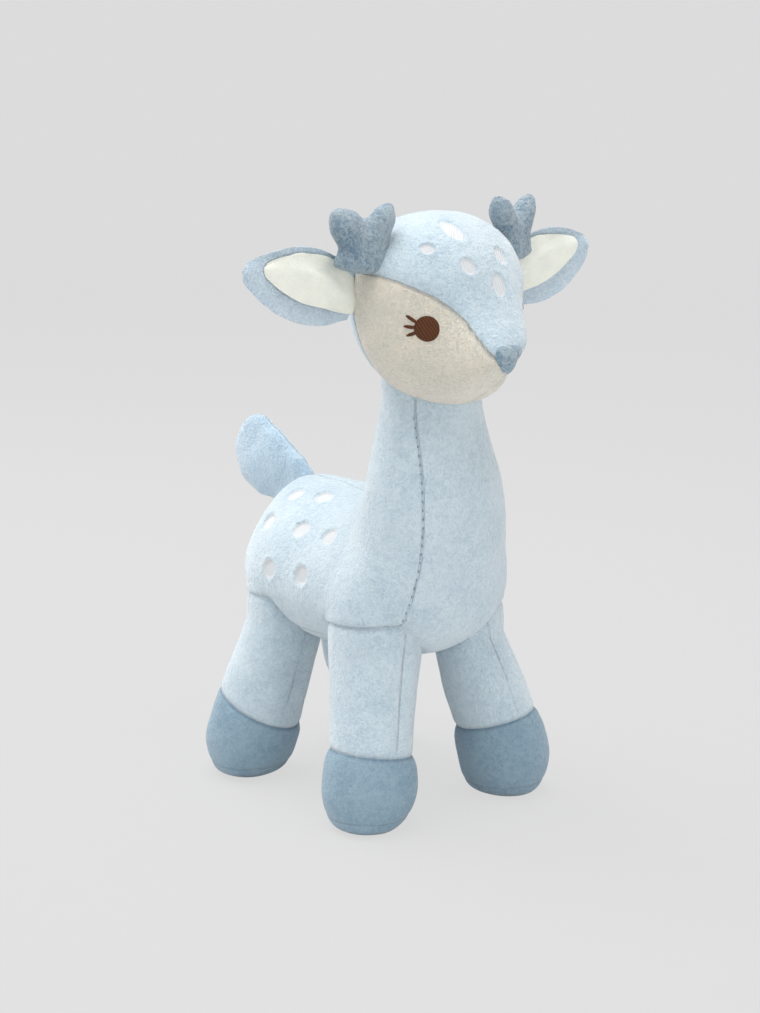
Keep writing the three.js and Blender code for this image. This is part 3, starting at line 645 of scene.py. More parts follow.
# Height and half width of the belly gusset, from the belly up
GUSSET_EDGE = (
    (77.0, 35.0),
    (92.5, 29.0),
    (99.6, 28.3),
    (110.0, 26.5),
    (117.0, 25.0),
    (125.0, 24.2),
    (150.0, 22.6),
    (174.0, 20.3),
    (198.0, 18.6),
    (230.0, 18.0),
)
GUSSET_WIDER_LEFT = 6.8
GUSSET_END_Y = 52.0
HAUNCH_SPOTS = (
    (-20.6, 35.6, 138.2),
    (-17.2, 17.4, 139.6),
    (-34.0, 39.6, 125.4),
    (-34.8, 11.7, 126.7),
    (-33.9, -9.3, 126.9),
    (-43.7, 22.8, 106.4),
    (-43.7, -1.8, 108.1),
)
SPOT_HALF_WIDTH = 4.6
SPOT_HALF_HEIGHT = 4.4
HAUNCH_SPOT_DEPTH = 1.2
# Beyond this distance from its middle a spot doesn't move the cloth.
SPOT_REACH = 12
# Depth and width of the dip where the body meets a leg, and a leg the body
BODY_DIP, LEG_DIP = (0.8, 2.2), (0.7, 1.8)
# How far the stuffing has sunk at the rump and in the saddle
RUMP_SINK = 1.7
SADDLE_SINK = 1.6
# The cloth over a leg: the rise and slope of its hem, how far the hem is rounded, how high the fold reaches,
# how far it hangs inside the leg's outline, and how softly it leaves the body
HEM_RISE = 14.4
HEM_SLOPE = -0.13
HEM_ROUND = 1.6
DRAPE_HEIGHT = 36.0
DRAPE_INSET = 1.0
DRAPE_EASE = 4.5
# The chest's stitches: how many on each side, the lowest one's height, and their spacing
STITCHES = 24
STITCH_LOW = 96
STITCH_STEP = 3.9
STITCH_HALF_SIZE = (0.34, 0.34, 0.7, 1)


def gusset_edge(x, z):
    """Half width of the gusset at a height; it was sewn a little wider on the left."""
    return between(GUSSET_EDGE, z)[0] + (GUSSET_WIDER_LEFT * smooth(205, 160, z) if x > 0 else 0.0)


def trunk_rows():
    """Dorsal points, ventral points and half widths, from the rump to the collar."""
    front = NECK_Y - size("chest_reach")
    low, high = size("belly_height"), size("back_height")
    reach, rise = size("trunk_length"), size("collar_height") - high
    wide, neck = size("trunk_half_width"), size("neck_radius")
    dorsal, ventral, widths = [], [], []
    for dl, dh, vl, vh, w in TRUNK_SHARES:
        dorsal.append(Vector((0, front + dl * reach, low + dh * (high - low))))
        ventral.append(Vector((0, front + vl * reach, low + vh * (high - low))))
        widths.append(w * wide)
    for dr, dn, vr, vn, w in NECK_SHARES:
        dorsal.append(Vector((0, NECK_Y + dn * neck, high + dr * rise)))
        ventral.append(Vector((0, NECK_Y - vn * neck, high + vr * rise)))
        widths.append(w * neck)
    spaced = [Vector((w, i * neck, 0)) for i, w in enumerate(widths)]
    return dorsal, ventral, spaced


def trunk_form(around, along):
    """The stuffed body and neck, closed by a dome inside the head."""
    dorsal, ventral, widths = trunk_rows()
    neck, collar = size("neck_radius"), size("collar_height")
    known = {}

    def section(share):
        at = share / TRUNK_SHARE
        if at <= 1:
            pear = PEAR * (1 - smooth(0.5, 0.75, at))
            top, low = spline(dorsal, at, 0.5), spline(ventral, at, 0.5)
            return (top + low) / 2, (top - low) / 2, spline(widths, at, 0.0).x, pear
        rise = math.pi / 2 * (share - TRUNK_SHARE) / (1 - TRUNK_SHARE)
        reach = neck * math.cos(rise)
        return Vector((0, NECK_Y, collar + neck * math.sin(rise))), Vector((0, reach, 0)), reach, 0.0

    def point_at(cosine, sine, share):
        key = round(share, 6)
        if key not in known:
            known[key] = section(share)
        middle, reach, wide, pear = known[key]
        point = middle + reach * cosine
        point.x = wide * sine * (1 - pear * cosine)
        return point

    return pouch(around, along, point_at)


def settled(place, normal):
    """The stuffing lies lower along the back and round the rump, and is pulled up under the tail."""
    rump = smooth(12, 44, place.y)
    saddle = swell(place, (0, 6, 0), (None, 18, None), 1.0) * smooth(118, 134, place.z)
    under_tail = swell(place, (0, 55, 140), (26, 13, 13), 3.6)
    return -RUMP_SINK * rump - SADDLE_SINK * saddle + under_tail


def trunk_seam(place, normal):
    """Distance to the gusset's seam in front and below, or to the middle seam along the back."""
    edge = gusset_edge(place.x, place.z)
    ahead = normal.y < -0.15 and place.z > 85
    under = normal.z < -0.25 and place.z < 112
    if ahead or under:
        away = across(abs(place.x) - edge, SIDEWAYS, normal)
        return (max(away, place.y - GUSSET_END_Y) if under and place.y > 30 else away), 0.55
    if normal.z > 0.2 or normal.y > 0.2:
        return across(abs(place.x), SIDEWAYS, normal), 0.35
    return FAR, 1.0


def draped(bm, high, radius):
    """Fills the body out over a leg's top and lets its cloth hang there, so that their seam is a fold."""
    for v in bm.verts:
        off = (v.co - high).xy
        hem = HEM_RISE + HEM_SLOPE * (v.co.y - high.y)
        rise = v.co.z - high.z - hem
        if -HEM_ROUND < rise < DRAPE_HEIGHT and 1 < off.length < 2 * radius:
            lack = radius - DRAPE_INSET - off.length
            push = (lack + math.hypot(lack, DRAPE_EASE)) / 2
            push *= smooth(-HEM_ROUND, HEM_ROUND, rise)
            push *= 1 - smooth(2, DRAPE_HEIGHT, rise)
            v.co.xy += off.normalized() * push
    bm.normal_update()


def near(trees, depth, width):
    """A dip wherever the surface comes close to one of the other forms."""

    def move(place, normal):
        found = [tree.find_nearest(place, 3 * width) for tree in trees]
        gaps = [hit[3] for hit in found if hit[3] is not None]
        return dip(min(gaps), depth, width) if gaps else 0.0

    return move


def spots_on(tree, spots):
    """The spots' places on a form and its facing there, each with its half width, half height and lean."""
    return [(*tree.find_nearest(Vector(place))[:2], *shape) for place, *shape in spots]


def spots_dip(spots, depth):
    """Sunken ovals with a slightly raised rim."""
    tree = KDTree(len(spots))
    for i, (centre, *_) in enumerate(spots):
        tree.insert(centre, i)
    tree.balance()

    def move(place, normal):
        _, i, away = tree.find(place)
        if away > SPOT_REACH:
            return 0.0
        centre, aim, half_width, half_height, lean = spots[i]
        right, up = beside(aim)
        turn = Matrix.Rotation(math.radians(-lean), 2)
        flat = turn @ Vector(((place - centre).dot(right), (place - centre).dot(up)))
        share = math.hypot(flat.x / half_width, flat.y / half_height)
        return -depth * (1 - smooth(0.78, 1.2, share)) - dip(share - 1.32, 0.25 * depth, 0.2)

    return move


class DEER_OT_body(bpy.types.Operator):
    """Makes the stuffed body and neck with its gusset seams, stitches and haunch spots"""

    bl_idname = "deer.body"
    bl_label = "Body and neck"

    def execute(self, context):
        shape = (SPOT_HALF_WIDTH, SPOT_HALF_HEIGHT, 0.0)
        mirrored = [(-x, y, z) for x, y, z in HAUNCH_SPOTS]
        spots = spots_on(skin_of(trunk_form(*TRUNK_PROBE)), [(p, *shape) for p in (*HAUNCH_SPOTS, *mirrored)])
        legs = [skin_of(leg_form(end, side, *LEG_PROBE)) for end, side in LEG_MAKE]
        bm = trunk_form(*TRUNK_MESH)
        lumps = stuffing(1.0, (26, 0.6), (11, 0.3), (4.5, 0.12))
        worked(bm, [near(legs, *BODY_DIP), spots_dip(spots, HAUNCH_SPOT_DEPTH), settled, lumps], trunk_seam)
        for leg, make in LEG_MAKE.items():
            draped(bm, leg_top(*leg), size("hip_radius") * make.share)
        SURFACES["body"] = BVHTree.FromBMesh(bm)
        body = made("body_plush", bm, "body blue plush")
        panels = ("side_panel_left", "side_panel_right", "belly_gusset", "torso_stuffing")
        padded(body, "body_plush_blue", 0.85, *panels)
        start, end = placed(0, NECK_Y, NECK_BEND), placed(0, NECK_Y, size("collar_height"))
        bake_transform(body, "torso", "neck_seam", start=start, end=end)
        stitches = made("chest_stitches", self.chest_stitches(), "seam thread")
        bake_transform(stitches, "torso", "neck_seam", start=start, end=end)
        for i, (centre, _, *shape) in enumerate(spots):
            label = "right" if i < len(HAUNCH_SPOTS) else "left"
            spot(f"haunch_spot_{label}_{i % len(HAUNCH_SPOTS) + 1}", "body", "torso", centre, shape)
        return {"FINISHED"}

    @staticmethod
    def chest_stitches():
        """Short stitches down both sides of the gusset, one every few millimetres."""
        bm = bmesh.new()
        for side, _ in SIDES:
            for i in range(STITCHES):
                z = STITCH_LOW + i * STITCH_STEP
                ahead = Vector((side * gusset_edge(side, z), -200, z))
                point, out, *_ = SURFACES["body"].ray_cast(ahead, Vector((0, 1, 0)))
                if point is None:
                    raise RuntimeError("a chest stitch missed the body")
                along = UPWARDS - out * out.z
                turn = along.to_track_quat("Z", "Y").to_matrix().to_4x4()
                shape = Matrix.Translation(point + out * 0.02) @ turn @ Matrix.Diagonal(STITCH_HALF_SIZE)
                bmesh.ops.create_uvsphere(bm, u_segments=8, v_segments=6, radius=1.0, matrix=shape)
        return bm


# Sewn-on patches

# How deep a patch reaches under its surface, how far above it the rays start, and the points of its mesh
PATCH_SINK = 0.8
RAY_START = 12
PATCH_MESH = (64, 32)
SPOT_RELIEF = 0.18


def outlined(name, surface, centre, outline, relief, flat, fabric, aim=None):
    """A thin padded patch that follows a surface: its outline is given round the aim, seen from outside."""
    tree = SURFACES[surface]
    if aim is None:
        aim = tree.find_nearest(centre)[1]
    right, up = beside(aim)
    bm = bmesh.new()
    bmesh.ops.create_uvsphere(bm, u_segments=PATCH_MESH[0], v_segments=PATCH_MESH[1], radius=1.0)
    for v in bm.verts:
        reach = math.hypot(v.co.x, v.co.y)
        u, w = outline(math.atan2(v.co.y, v.co.x))
        point, out, *_ = tree.ray_cast(centre + (right * u + up * w) * reach + aim * RAY_START, -aim)
        if point is None:
            raise RuntimeError(f"{name} reaches past the surface that it lies on")
        rise = math.copysign(abs(v.co.z) ** flat, v.co.z)
        v.co = point + out * (relief * rise if rise > 0 else PATCH_SINK * rise)
    bmesh.ops.recalc_face_normals(bm, faces=bm.faces)
    return made(name, bm, fabric)


def oval(half_width, half_height, lean):
    """An oval outline, leaning by some degrees."""
    c, s = math.cos(math.radians(lean)), math.sin(math.radians(lean))

    def outline(turn):
        u, w = half_width * math.cos(turn), half_height * math.sin(turn)
        return u * c - w * s, u * s + w * c

    return outline


def spot(name, surface, body, centre, shape):
    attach(outlined(name, surface, centre, oval(*shape), SPOT_RELIEF, 0.6, "spot satin"), body)


# Legs

LEG_PROBE, LEG_MESH = (48, 64), (128, 190)
STANCE_LENGTH = 99.0
STANCE_WIDTH = 84.0
STANCE_Y = -0.8
HIP_LENGTH = 71.0
HIP_SPREAD = 54.0
HIP_RISE = 9.0
DOME_POWER = 4.5
# The shares of a leg's mesh in its tube and in the dome that closes it inside the body
TUBE_SHARE = 0.8
DOME_SHARE = 0.2
LegMake = namedtuple("LegMake", "hoof ankle hip sole slope_x slope_y rise foot share")
# How each leg came out: sideways drift of the hoof, the ankle and the hip, further drift of the sole, slopes
# of the ankle seam, its rise, width shares of the hoof and of the hip
LEG_MAKE = {
    ("front", 1): LegMake(1.6, 2.8, 0.3, -3.6, 0.174, -0.17, 1.5, 1.0, 0.8),
    ("front", -1): LegMake(0.0, 0.0, 0.0, -1.0, -0.15, -0.04, -1.7, 1.0, 1.0),
    ("rear", 1): LegMake(-5.4, -6.0, -11.0, 0.0, 0.2, 0.3, 0.0, 0.9, 0.92),
    ("rear", -1): LegMake(-2.0, -1.2, 0.6, 3.2, -0.25, 0.4, -1.0, 1.0, 0.86),
}
DRIFT_WAY = Vector((0.793, -0.609, 0.0))
# Height share of twice the sole, radius share
HOOF_SHARES = ((0.0, 0.0), (0.0, 0.34), (0.05, 0.57), (0.25, 0.8), (0.62, 0.96))
# Between which heights over and under the hip a leg's cloth bends
BEND_OVER = 10
BEND_UNDER = -14


def leg_axis(end, side):
    forward = -1 if end == "front" else 1
    hip = size("belly_height") + HIP_RISE
    low = Vector((side * STANCE_WIDTH / 2, STANCE_Y + forward * STANCE_LENGTH / 2, 0))
    high = Vector((side * HIP_SPREAD / 2, forward * HIP_LENGTH / 2, hip))
    return low, high


def leg_centre(end, side, height):
    """The middle of a leg at a height, with the drift it was sewn on with."""
    low, high = leg_axis(end, side)
    ankle, make = size("ankle_height"), LEG_MAKE[end, side]
    drift = between(((0.0, make.hoof), (ankle, make.ankle), (high.z, make.hip)), height)[0]
    drift += make.sole * smooth(0.6 * ankle, 0, height)
    return low.lerp(high, height / high.z) + DRIFT_WAY * drift


def leg_top(end, side):
    return leg_centre(end, side, leg_axis(end, side)[1].z)


def leg_rows(hip, make):
    """Radius and height, from the sole's middle to the hip."""
    sole, ankle, radius = size("sole_height"), size("ankle_height") + make.rise, size("leg_radius")
    rows = [(h * 2 * sole, r * make.foot * radius) for h, r in HOOF_SHARES]
    rows += [
        (sole + 0.35 * (ankle - sole), 1.1 * make.foot * radius),
        (sole + 0.75 * (ankle - sole), 1.07 * make.foot * radius),
        (ankle, 0.98 * make.foot * radius),
        (ankle + 0.3 * (hip - ankle), 0.98 * radius),
        (ankle + 0.65 * (hip - ankle), (0.6 + 0.42 * make.share) * radius),
        (hip, size("hip_radius") * make.share),
    ]
    return [Vector((r, h, 0)) for h, r in rows]


def leg_form(end, side, around, along):
    """A leg with its hoof, closed by a dome inside the body."""
    make, high = LEG_MAKE[end, side], leg_top(end, side)
    rows = leg_rows(high.z, make)
    dome, ankle = size("hip_radius"), size("ankle_height") + make.rise
    slope = Vector((make.slope_x, make.slope_y, 0))

    def point_at(cosine, sine, share):
        if share < TUBE_SHARE:
            row = spline(rows, share / TUBE_SHARE, 0.5)
            radius, height = max(0.0, row.x), max(0.0, row.y)
            centre = leg_centre(end, side, height)
            near_ankle = (height / ankle) ** 2 if height < ankle else (high.z - height) / (high.z - ankle)
        else:
            turn = math.pi / 2 * (share - TUBE_SHARE) / DOME_SHARE
            radius = rows[-1].x * max(0.0, math.cos(turn)) ** (2 / DOME_POWER)
            near_ankle = 0.0
            centre = high + Vector((0, 0, dome * math.sin(turn) ** (2 / DOME_POWER)))
        out = Vector((radius * cosine, radius * sine, 0))
        return centre + out + Vector((0, 0, slope.dot(out) * near_ankle))

    return pouch(around, along, point_at)


def leg_seams(end, side):
    """Distance to the ankle seam, the sole seam or the seams down the front and back of the leg."""
    make = LEG_MAKE[end, side]
    origin = leg_centre(end, side, size("ankle_height") + make.rise)
    upright = Vector((-make.slope_x, -make.slope_y, 1)).normalized()
    sole = size("sole_height")

    def distance(place, normal):
        above = (place - origin).dot(upright)
        found = (abs(above), 1.0)
        if above < -15:
            found = (abs(place.z - 1.4 * sole), 0.3)
        elif above > 3 and abs(normal.y) > 0.3:
            centre = leg_centre(end, side, place.z)
            found = (across(abs(place.x - centre.x), SIDEWAYS, normal), 0.4)
        return found

    return distance, origin, upright


def gathers(high):
    """Small upright creases under the seam where a leg is gathered into the body."""

    def move(place, normal):
        turn = math.atan2(place.y - high.y, place.x - high.x)
        wave = noise.noise(Vector((3.2 * math.cos(turn), 3.2 * math.sin(turn), high.x + high.y)) * 2.2)
        return 0.45 * wave * smooth(high.z - 20, high.z + 4, place.z)

    return move


def cut_by(bm, origin, normal, keep_above):
    """A closed copy of the part of a form on one side of a plane."""
    part = bm.copy()
    geom = [*part.verts, *part.edges, *part.faces]
    bmesh.ops.bisect_plane(
        part, geom=geom, plane_co=origin, plane_no=normal, clear_inner=keep_above, clear_outer=not keep_above
    )
    bmesh.ops.holes_fill(part, edges=[e for e in part.edges if e.is_boundary], sides=0)
    bmesh.ops.recalc_face_normals(part, faces=part.faces)
    return part


class DEER_OT_legs(bpy.types.Operator):
    """Makes each leg's stuffed blue tube and its grey-blue hoof"""

    bl_idname = "deer.legs"
    bl_label = "Legs and hooves"

    def execute(self, context):
        for i, (end, side) in enumerate(LEG_MAKE):
            low, high = leg_axis(end, side)
            seams, origin, upright = leg_seams(end, side)
            bm = leg_form(end, side, *LEG_MESH)
            lumps = stuffing(5.0 + i, (17, 0.5), (7, 0.16))
            worked(bm, [near([SURFACES["body"]], *LEG_DIP), gathers(high), lumps], seams)
            for v in bm.verts:
                v.co.z = max(0.0, v.co.z)
            leg = f"leg_{end}_{'left' if side > 0 else 'right'}"
            tube = made(leg + "_plush", cut_by(bm, origin, upright, keep_above=True), "body blue plush")
            padded(tube, "body_plush_blue", 0.8, leg + "_outer", leg + "_inner", leg + "_stuffing")
            over, under = (low.lerp(high, (high.z + rise) / high.z) for rise in (BEND_OVER, BEND_UNDER))
            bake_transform(tube, "torso", leg, start=placed(*over), end=placed(*under))
            hoof = made(leg + "_hoof", cut_by(bm, origin, upright, keep_above=False), "hoof slate plush")
            padded(hoof, "trim_plush_slate", 0.8, leg + "_hoof_wall", leg + "_hoof_sole")
            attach(hoof, leg)
            bm.free()
        return {"FINISHED"}


# Head

HEAD_PROBE, HEAD_MESH = (128, 96), (256, 224)
HEAD_Y = -44.0
HEAD_Z = 241.0
HEAD_FRONT = 36.5
HEAD_BACK = 34.0
HEAD_TOP = 34.5
HEAD_BOTTOM = 50.0
HEAD_FULLNESS = 0.9
MUZZLE_REACH = 19.0
MUZZLE_Z = 213.0
MUZZLE_SPREAD_BELOW = 17.0
MUZZLE_SPREAD_ABOVE = 19.5
BRIDGE_HALF_WIDTH = 22.0
BRIDGE_POWER = 5
JAW_FORWARD = 9.0
BACK_SEAM_Y = -37.5
FOREHEAD_SPOT_DEPTH = 0.9
CHIN_SEAM_Z = 212
LEFT_CHEEK_LOWER = 5.5
PANEL_ROLL = 2.2
CROWN_NODES = ("forehead_gusset", "head_back", "head_stuffing")
# (y, z) of the seam between forehead and cheek, from above the nose to over the ear
BROW_SEAM = (
    (-110.0, 205.0),
    (-97.5, 214.5),
    (-94.3, 219.0),
    (-92.0, 222.2),
    (-88.8, 225.8),
    (-83.6, 232.1),
    (-78.3, 237.3),
    (-73.0, 242.4),
    (-68.2, 245.3),
    (-63.2, 247.7),
    (-54.1, 250.2),
    (-40.0, 251.5),
    (0.0, 252.0),
)
# Centre on the head, half width, half height, lean in degrees
FOREHEAD_SPOTS = (
    ((-7.5, -65.0, 268.9), 3.6, 6.8, 24.0),
    ((-21.9, -66.3, 261.5), 3.0, 2.5, -10.0),
    ((-8.0, -77.1, 254.2), 3.0, 4.0, 28.0),
    ((11.9, -74.4, 257.3), 3.0, 4.0, 10.0),
    ((6.0, -80.2, 245.1), 3.3, 5.2, 4.0),
    ((24.5, -62.0, 262.0), 3.0, 4.2, -12.0),
)


def head_point(half_width, turn_cos, turn_sin, rise):
    """The head's surface: level rounds with a rounded muzzle pushed out of the front."""
    up = rise > 0
    z = HEAD_Z + (HEAD_TOP if up else HEAD_BOTTOM) * math.sin(rise)
    swell_here = max(0.0, math.cos(rise)) ** HEAD_FULLNESS
    middle = HEAD_Y - (0 if up else JAW_FORWARD * math.sin(rise) ** 2)
    spread = MUZZLE_SPREAD_ABOVE if z > MUZZLE_Z else MUZZLE_SPREAD_BELOW
    snout = MUZZLE_REACH * math.exp(-(((z - MUZZLE_Z) / spread) ** 2))
    reach = HEAD_FRONT if turn_cos > 0 else HEAD_BACK
    x = swell_here * half_width * turn_sin
    bridge = math.exp(-((abs(x) / BRIDGE_HALF_WIDTH) ** BRIDGE_POWER)) if turn_cos > 0 else 0.0
    return Vector((x, middle - swell_here * reach * turn_cos - snout * bridge, z))


def head_form(around, along):
    half_width = size("head_half_width")
    return pouch(around, along, lambda c, s, share: head_point(half_width, c, s, math.pi * (0.5 - share)))


def brow_height(x, y):
    """Height of the brow seam; the left cheek was cut a little lower."""
    lower = LEFT_CHEEK_LOWER * smooth(2, 11, x) * smooth(-98, -90, y) * smooth(-46, -58, y)
    return between(BROW_SEAM, y)[0] - lower


def below_brow(place, normal):
    """How far a point of the head lies below the brow seam, along the surface."""
    fall = brow_height(place.x, place.y + 0.5) - brow_height(place.x, place.y - 0.5)
    return across(brow_height(place.x, place.y) - place.z, Vector((0, fall, -1)), normal)


def cheek_depth(place):
    """Above zero on the cheeks, below on the crown and the back of the head."""
    return min(brow_height(place.x, place.y) - place.z, BACK_SEAM_Y - place.y)


def head_seam(place, normal):
    """Distance to the edge of the cheeks, or to the seam between them under the chin."""
    below = below_brow(place, normal)
    ahead = across(BACK_SEAM_Y - place.y, Vector((0, -1, 0)), normal)
    found = (abs(min(below, ahead)), 0.58)
    if below > 0 and ahead > 0 and place.z < CHIN_SEAM_Z:
        found = min(found, (across(abs(place.x), SIDEWAYS, normal), 0.3))
    return found


def brow_puff(place, normal):
    """The crown is stuffed proud of the cheeks along the brow seam."""
    if place.y > BACK_SEAM_Y:
        return 0.0
    below = below_brow(place, normal)
    return dip(below - 4, 0.25, 5) - dip(below + 5, 0.35, 5)


def full_bridge(place, normal):
    """The bridge of the nose is stuffed fuller on its left."""
    return swell(place, (15, 0, 238), (8, None, 12), 1.5) * smooth(-60, -68, place.y)


def flat_muzzle(place, normal):
    """The muzzle is stuffed flatter below the nose on its left."""
    flat = swell(place, (0, 0, 206), (None, None, 11), -7.5)
    return flat * smooth(-1, 8, place.x) * smooth(-66, -84, place.y)


class DEER_OT_head(bpy.types.Operator):
    """Makes the stuffed head: blue crown and back, and the two cream cheeks"""

    bl_idname = "deer.head"
    bl_label = "Head"

    def execute(self, context):
        spots = spots_on(skin_of(head_form(*HEAD_PROBE)), FOREHEAD_SPOTS)
        SURFACES["forehead spots"] = spots
        bm = head_form(*HEAD_MESH)
        lumps = stuffing(2.0, (24, 0.5), (10, 0.2), (4, 0.08))
        moves = [spots_dip(spots, FOREHEAD_SPOT_DEPTH), brow_puff, full_bridge, flat_muzzle, lumps]
        worked(bm, moves, head_seam)
        SURFACES["head"] = BVHTree.FromBMesh(bm)
        parted(bm, cheek_depth)
        crown, cheeks = (half_of(bm, side, PANEL_ROLL) for side in (-1, 1))
        bm.free()
        for part, name, fabric, fabric_slot, nodes in (
            (crown, "head_crown_plush", "body blue plush", "body_plush_blue", CROWN_NODES),
            (cheeks, "cheek_plush", "cheek cream plush", "cheek_plush_cream", ("cheek_left", "cheek_right")),
        ):
            piece = made(name, part, fabric)
            padded(piece, fabric_slot, 0.9, *nodes)
            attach(piece, "head")
        return {"FINISHED"}


# Eyes, lashes, nose and forehead spots

EYE_CENTRE = Vector((-26.3, -71.6, 228.3))
# The left eye was sewn on further back and inwards.
LEFT_EYE_OFF = Vector((2.6, 6.9, -0.6))
EYE_RADIUS = 5.6
LASH_TIPS = ((-32.9, -66.0, 233.7), (-33.6, -65.2, 229.1), (-32.5, -65.6, 225.0))
LASH_HALF_WIDTH = 0.75
NOSE_CENTRE = Vector((0.0, -97.0, 215.6))
NOSE_AIM = Vector((0, -0.985, 0.17)).normalized()
NOSE_HALF_WIDTH = 8.2
NOSE_HALF_HEIGHT = 5.9
# Half of the nose's outline as shares of its half width and half height, from the top's middle down
NOSE_SHARES = ((0.0, 1.0), (0.62, 0.97), (0.93, 0.8), (1.0, 0.25), (0.82, -0.28), (0.38, -0.86), (0.0, -1.0))


def on_side(point, side):
    return Vector((-side * point[0], point[1], point[2]))


def nose_outline(turn):
    """A wedge with a straight top edge, rounded shoulders and a blunt tip below."""
    shares = NOSE_SHARES + tuple((-u, w) for u, w in NOSE_SHARES[1:-1])
    ring = [Vector((u * NOSE_HALF_WIDTH, w * NOSE_HALF_HEIGHT)) for u, w in shares]
    bearings = sorted((math.atan2(p.y, p.x), p.x, p.y) for p in ring)
    first, last = bearings[0], bearings[-1]
    full = 2 * math.pi
    return between([(last[0] - full, *last[1:]), *bearings, (first[0] + full, *first[1:])], turn)


class DEER_OT_face(bpy.types.Operator):
    """Makes the embroidered eyes with their lashes, the padded nose and the forehead spots"""

    bl_idname = "deer.face"
    bl_label = "Eyes, nose and spots"

    def execute(self, context):
        for side, label in SIDES:
            centre = on_side(EYE_CENTRE, side) + LEFT_EYE_OFF * max(0, side)
            eye = outlined(
                f"eye_{label}_satin", "head", centre, oval(EYE_RADIUS, EYE_RADIUS, 0), 0.6, 0.5, "eye satin"
            )
            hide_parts(f"eye_{label}")
            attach(eye, "head")
            for i, tip in enumerate(LASH_TIPS):
                self.lash(f"lash_{label}_{i + 1}", centre, centre + on_side(Vector(tip) - EYE_CENTRE, side))
        nose = outlined(
            "nose_plush", "head", NOSE_CENTRE, nose_outline, 2.0, 0.7, "nose grey plush", aim=NOSE_AIM
        )
        padded(nose, "trim_plush_slate", 0.7, "nose_patch")
        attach(nose, "head")
        for i, (centre, _, *shape) in enumerate(SURFACES["forehead spots"]):
            spot(f"forehead_spot_{i + 1}", "head", "head", centre, shape)
        return {"FINISHED"}

    @staticmethod
    def lash(name, eye, tip):
        """One lash: a narrow satin bar from the eye's edge to its tip."""
        root = eye + (tip - eye).normalized() * (EYE_RADIUS - 0.8)
        middle, along = (root + tip) / 2, tip - root
        right, up = beside(SURFACES["head"].find_nearest(middle)[1])
        lean = math.degrees(math.atan2(along.dot(up), along.dot(right)))
        outline = oval(along.length / 2 + 0.5, LASH_HALF_WIDTH, lean)
        bar = outlined(name, "head", middle, outline, 0.7, 0.5, "eye satin")
        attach(bar, "head")


# Ears

EAR_MESH = (96, 128)
EAR_Y = -38.0
EAR_Z = 240.0
EAR_TILT = 14.0
EAR_SWEEP = -1.0
EAR_CUP = 4.0
EAR_BASE_HALF_WIDTH = 10.5
# How far out from the head an ear's cloth bends
EAR_BEND = 24
# Share along, half width share, cup share
EAR_SHARES = (
    (0.0, 0.0, 0.0),
    (0.1, 0.3, 0.3),
    (0.25, 0.78, 0.75),
    (0.42, 1.0, 1.0),
    (0.6, 0.93, 1.0),
    (0.78, 0.7, 0.8),
    (0.9, 0.45, 0.5),
    (0.965, 0.25, 0.25),
    (0.99, 0.0, 0.2),
)
EAR_WIDEST = 0.42
# Where both leaves begin, as a share of the ear's length, just inside the head
EAR_START = -0.02


def ear_place(side):
    """The ear's own frame: x along it, y up its width, z out of its face."""
    tilt, sweep = math.radians(EAR_TILT), math.radians(EAR_SWEEP)
    along = Vector((math.cos(tilt) * math.cos(sweep), math.cos(tilt) * math.sin(sweep), math.sin(tilt)))
    face = along.cross(Vector((-math.sin(tilt), 0, math.cos(tilt)))).normalized()
    rise, ahead = (EAR_Z - HEAD_Z) / HEAD_TOP, (EAR_Y - HEAD_Y) / HEAD_FRONT
    reach = size("head_half_width") * math.sqrt(1 - rise**2 - ahead**2) - 1
    turn = Matrix((along, face.cross(along), face)).transposed().to_4x4()
    return Matrix.Diagonal((side, 1, 1, 1)) @ Matrix.Translation((reach, EAR_Y, EAR_Z)) @ turn


def ear_leaf(stop, width_share, lift, thick, rise, fold):
    """One leaf of an ear, from just inside the head to a share of the ear's length."""
    long, wide_most = size("ear_length"), size("ear_half_width")
    rows = [Vector(row) for row in EAR_SHARES]

    def point_at(cosine, sine, share):
        row = spline(rows, share, 0.5)
        at, wide, cup = max(0.0, row.x), max(0.0, row.y), row.z
        swelling = wide_most * wide
        if at < EAR_WIDEST:
            swelling = EAR_BASE_HALF_WIDTH + (wide_most - EAR_BASE_HALF_WIDTH) * wide
        half = width_share * swelling
        v = half * cosine
        cupped = EAR_CUP * cup * (v / max(0.5, swelling)) ** 2
        body = (0.5 + (thick - 0.5) * (1 - cosine**2)) * (0.5 + 0.5 * sine)
        body = thick / 4 + (body - thick / 4) * min(1.0, half / 4)
        s = (EAR_START + (stop - EAR_START) * at) * long
        return Vector((s, v + rise * smooth(0.05, 0.4, at), cupped + lift + body + fold(s, v)))

    return pouch(*EAR_MESH, point_at)


def hollow(s, v):
    """The lining sinks in a soft fold that runs out from the head, with a crest beside it."""
    sunk = dip(v - 4, 1.3, 4.0) * (1 - smooth(14, 40, s))
    return sunk - dip(v + 1.5 - 0.12 * s, 1.5, 3.2) * smooth(4, 14, s) * (1 - smooth(26, 44, s))


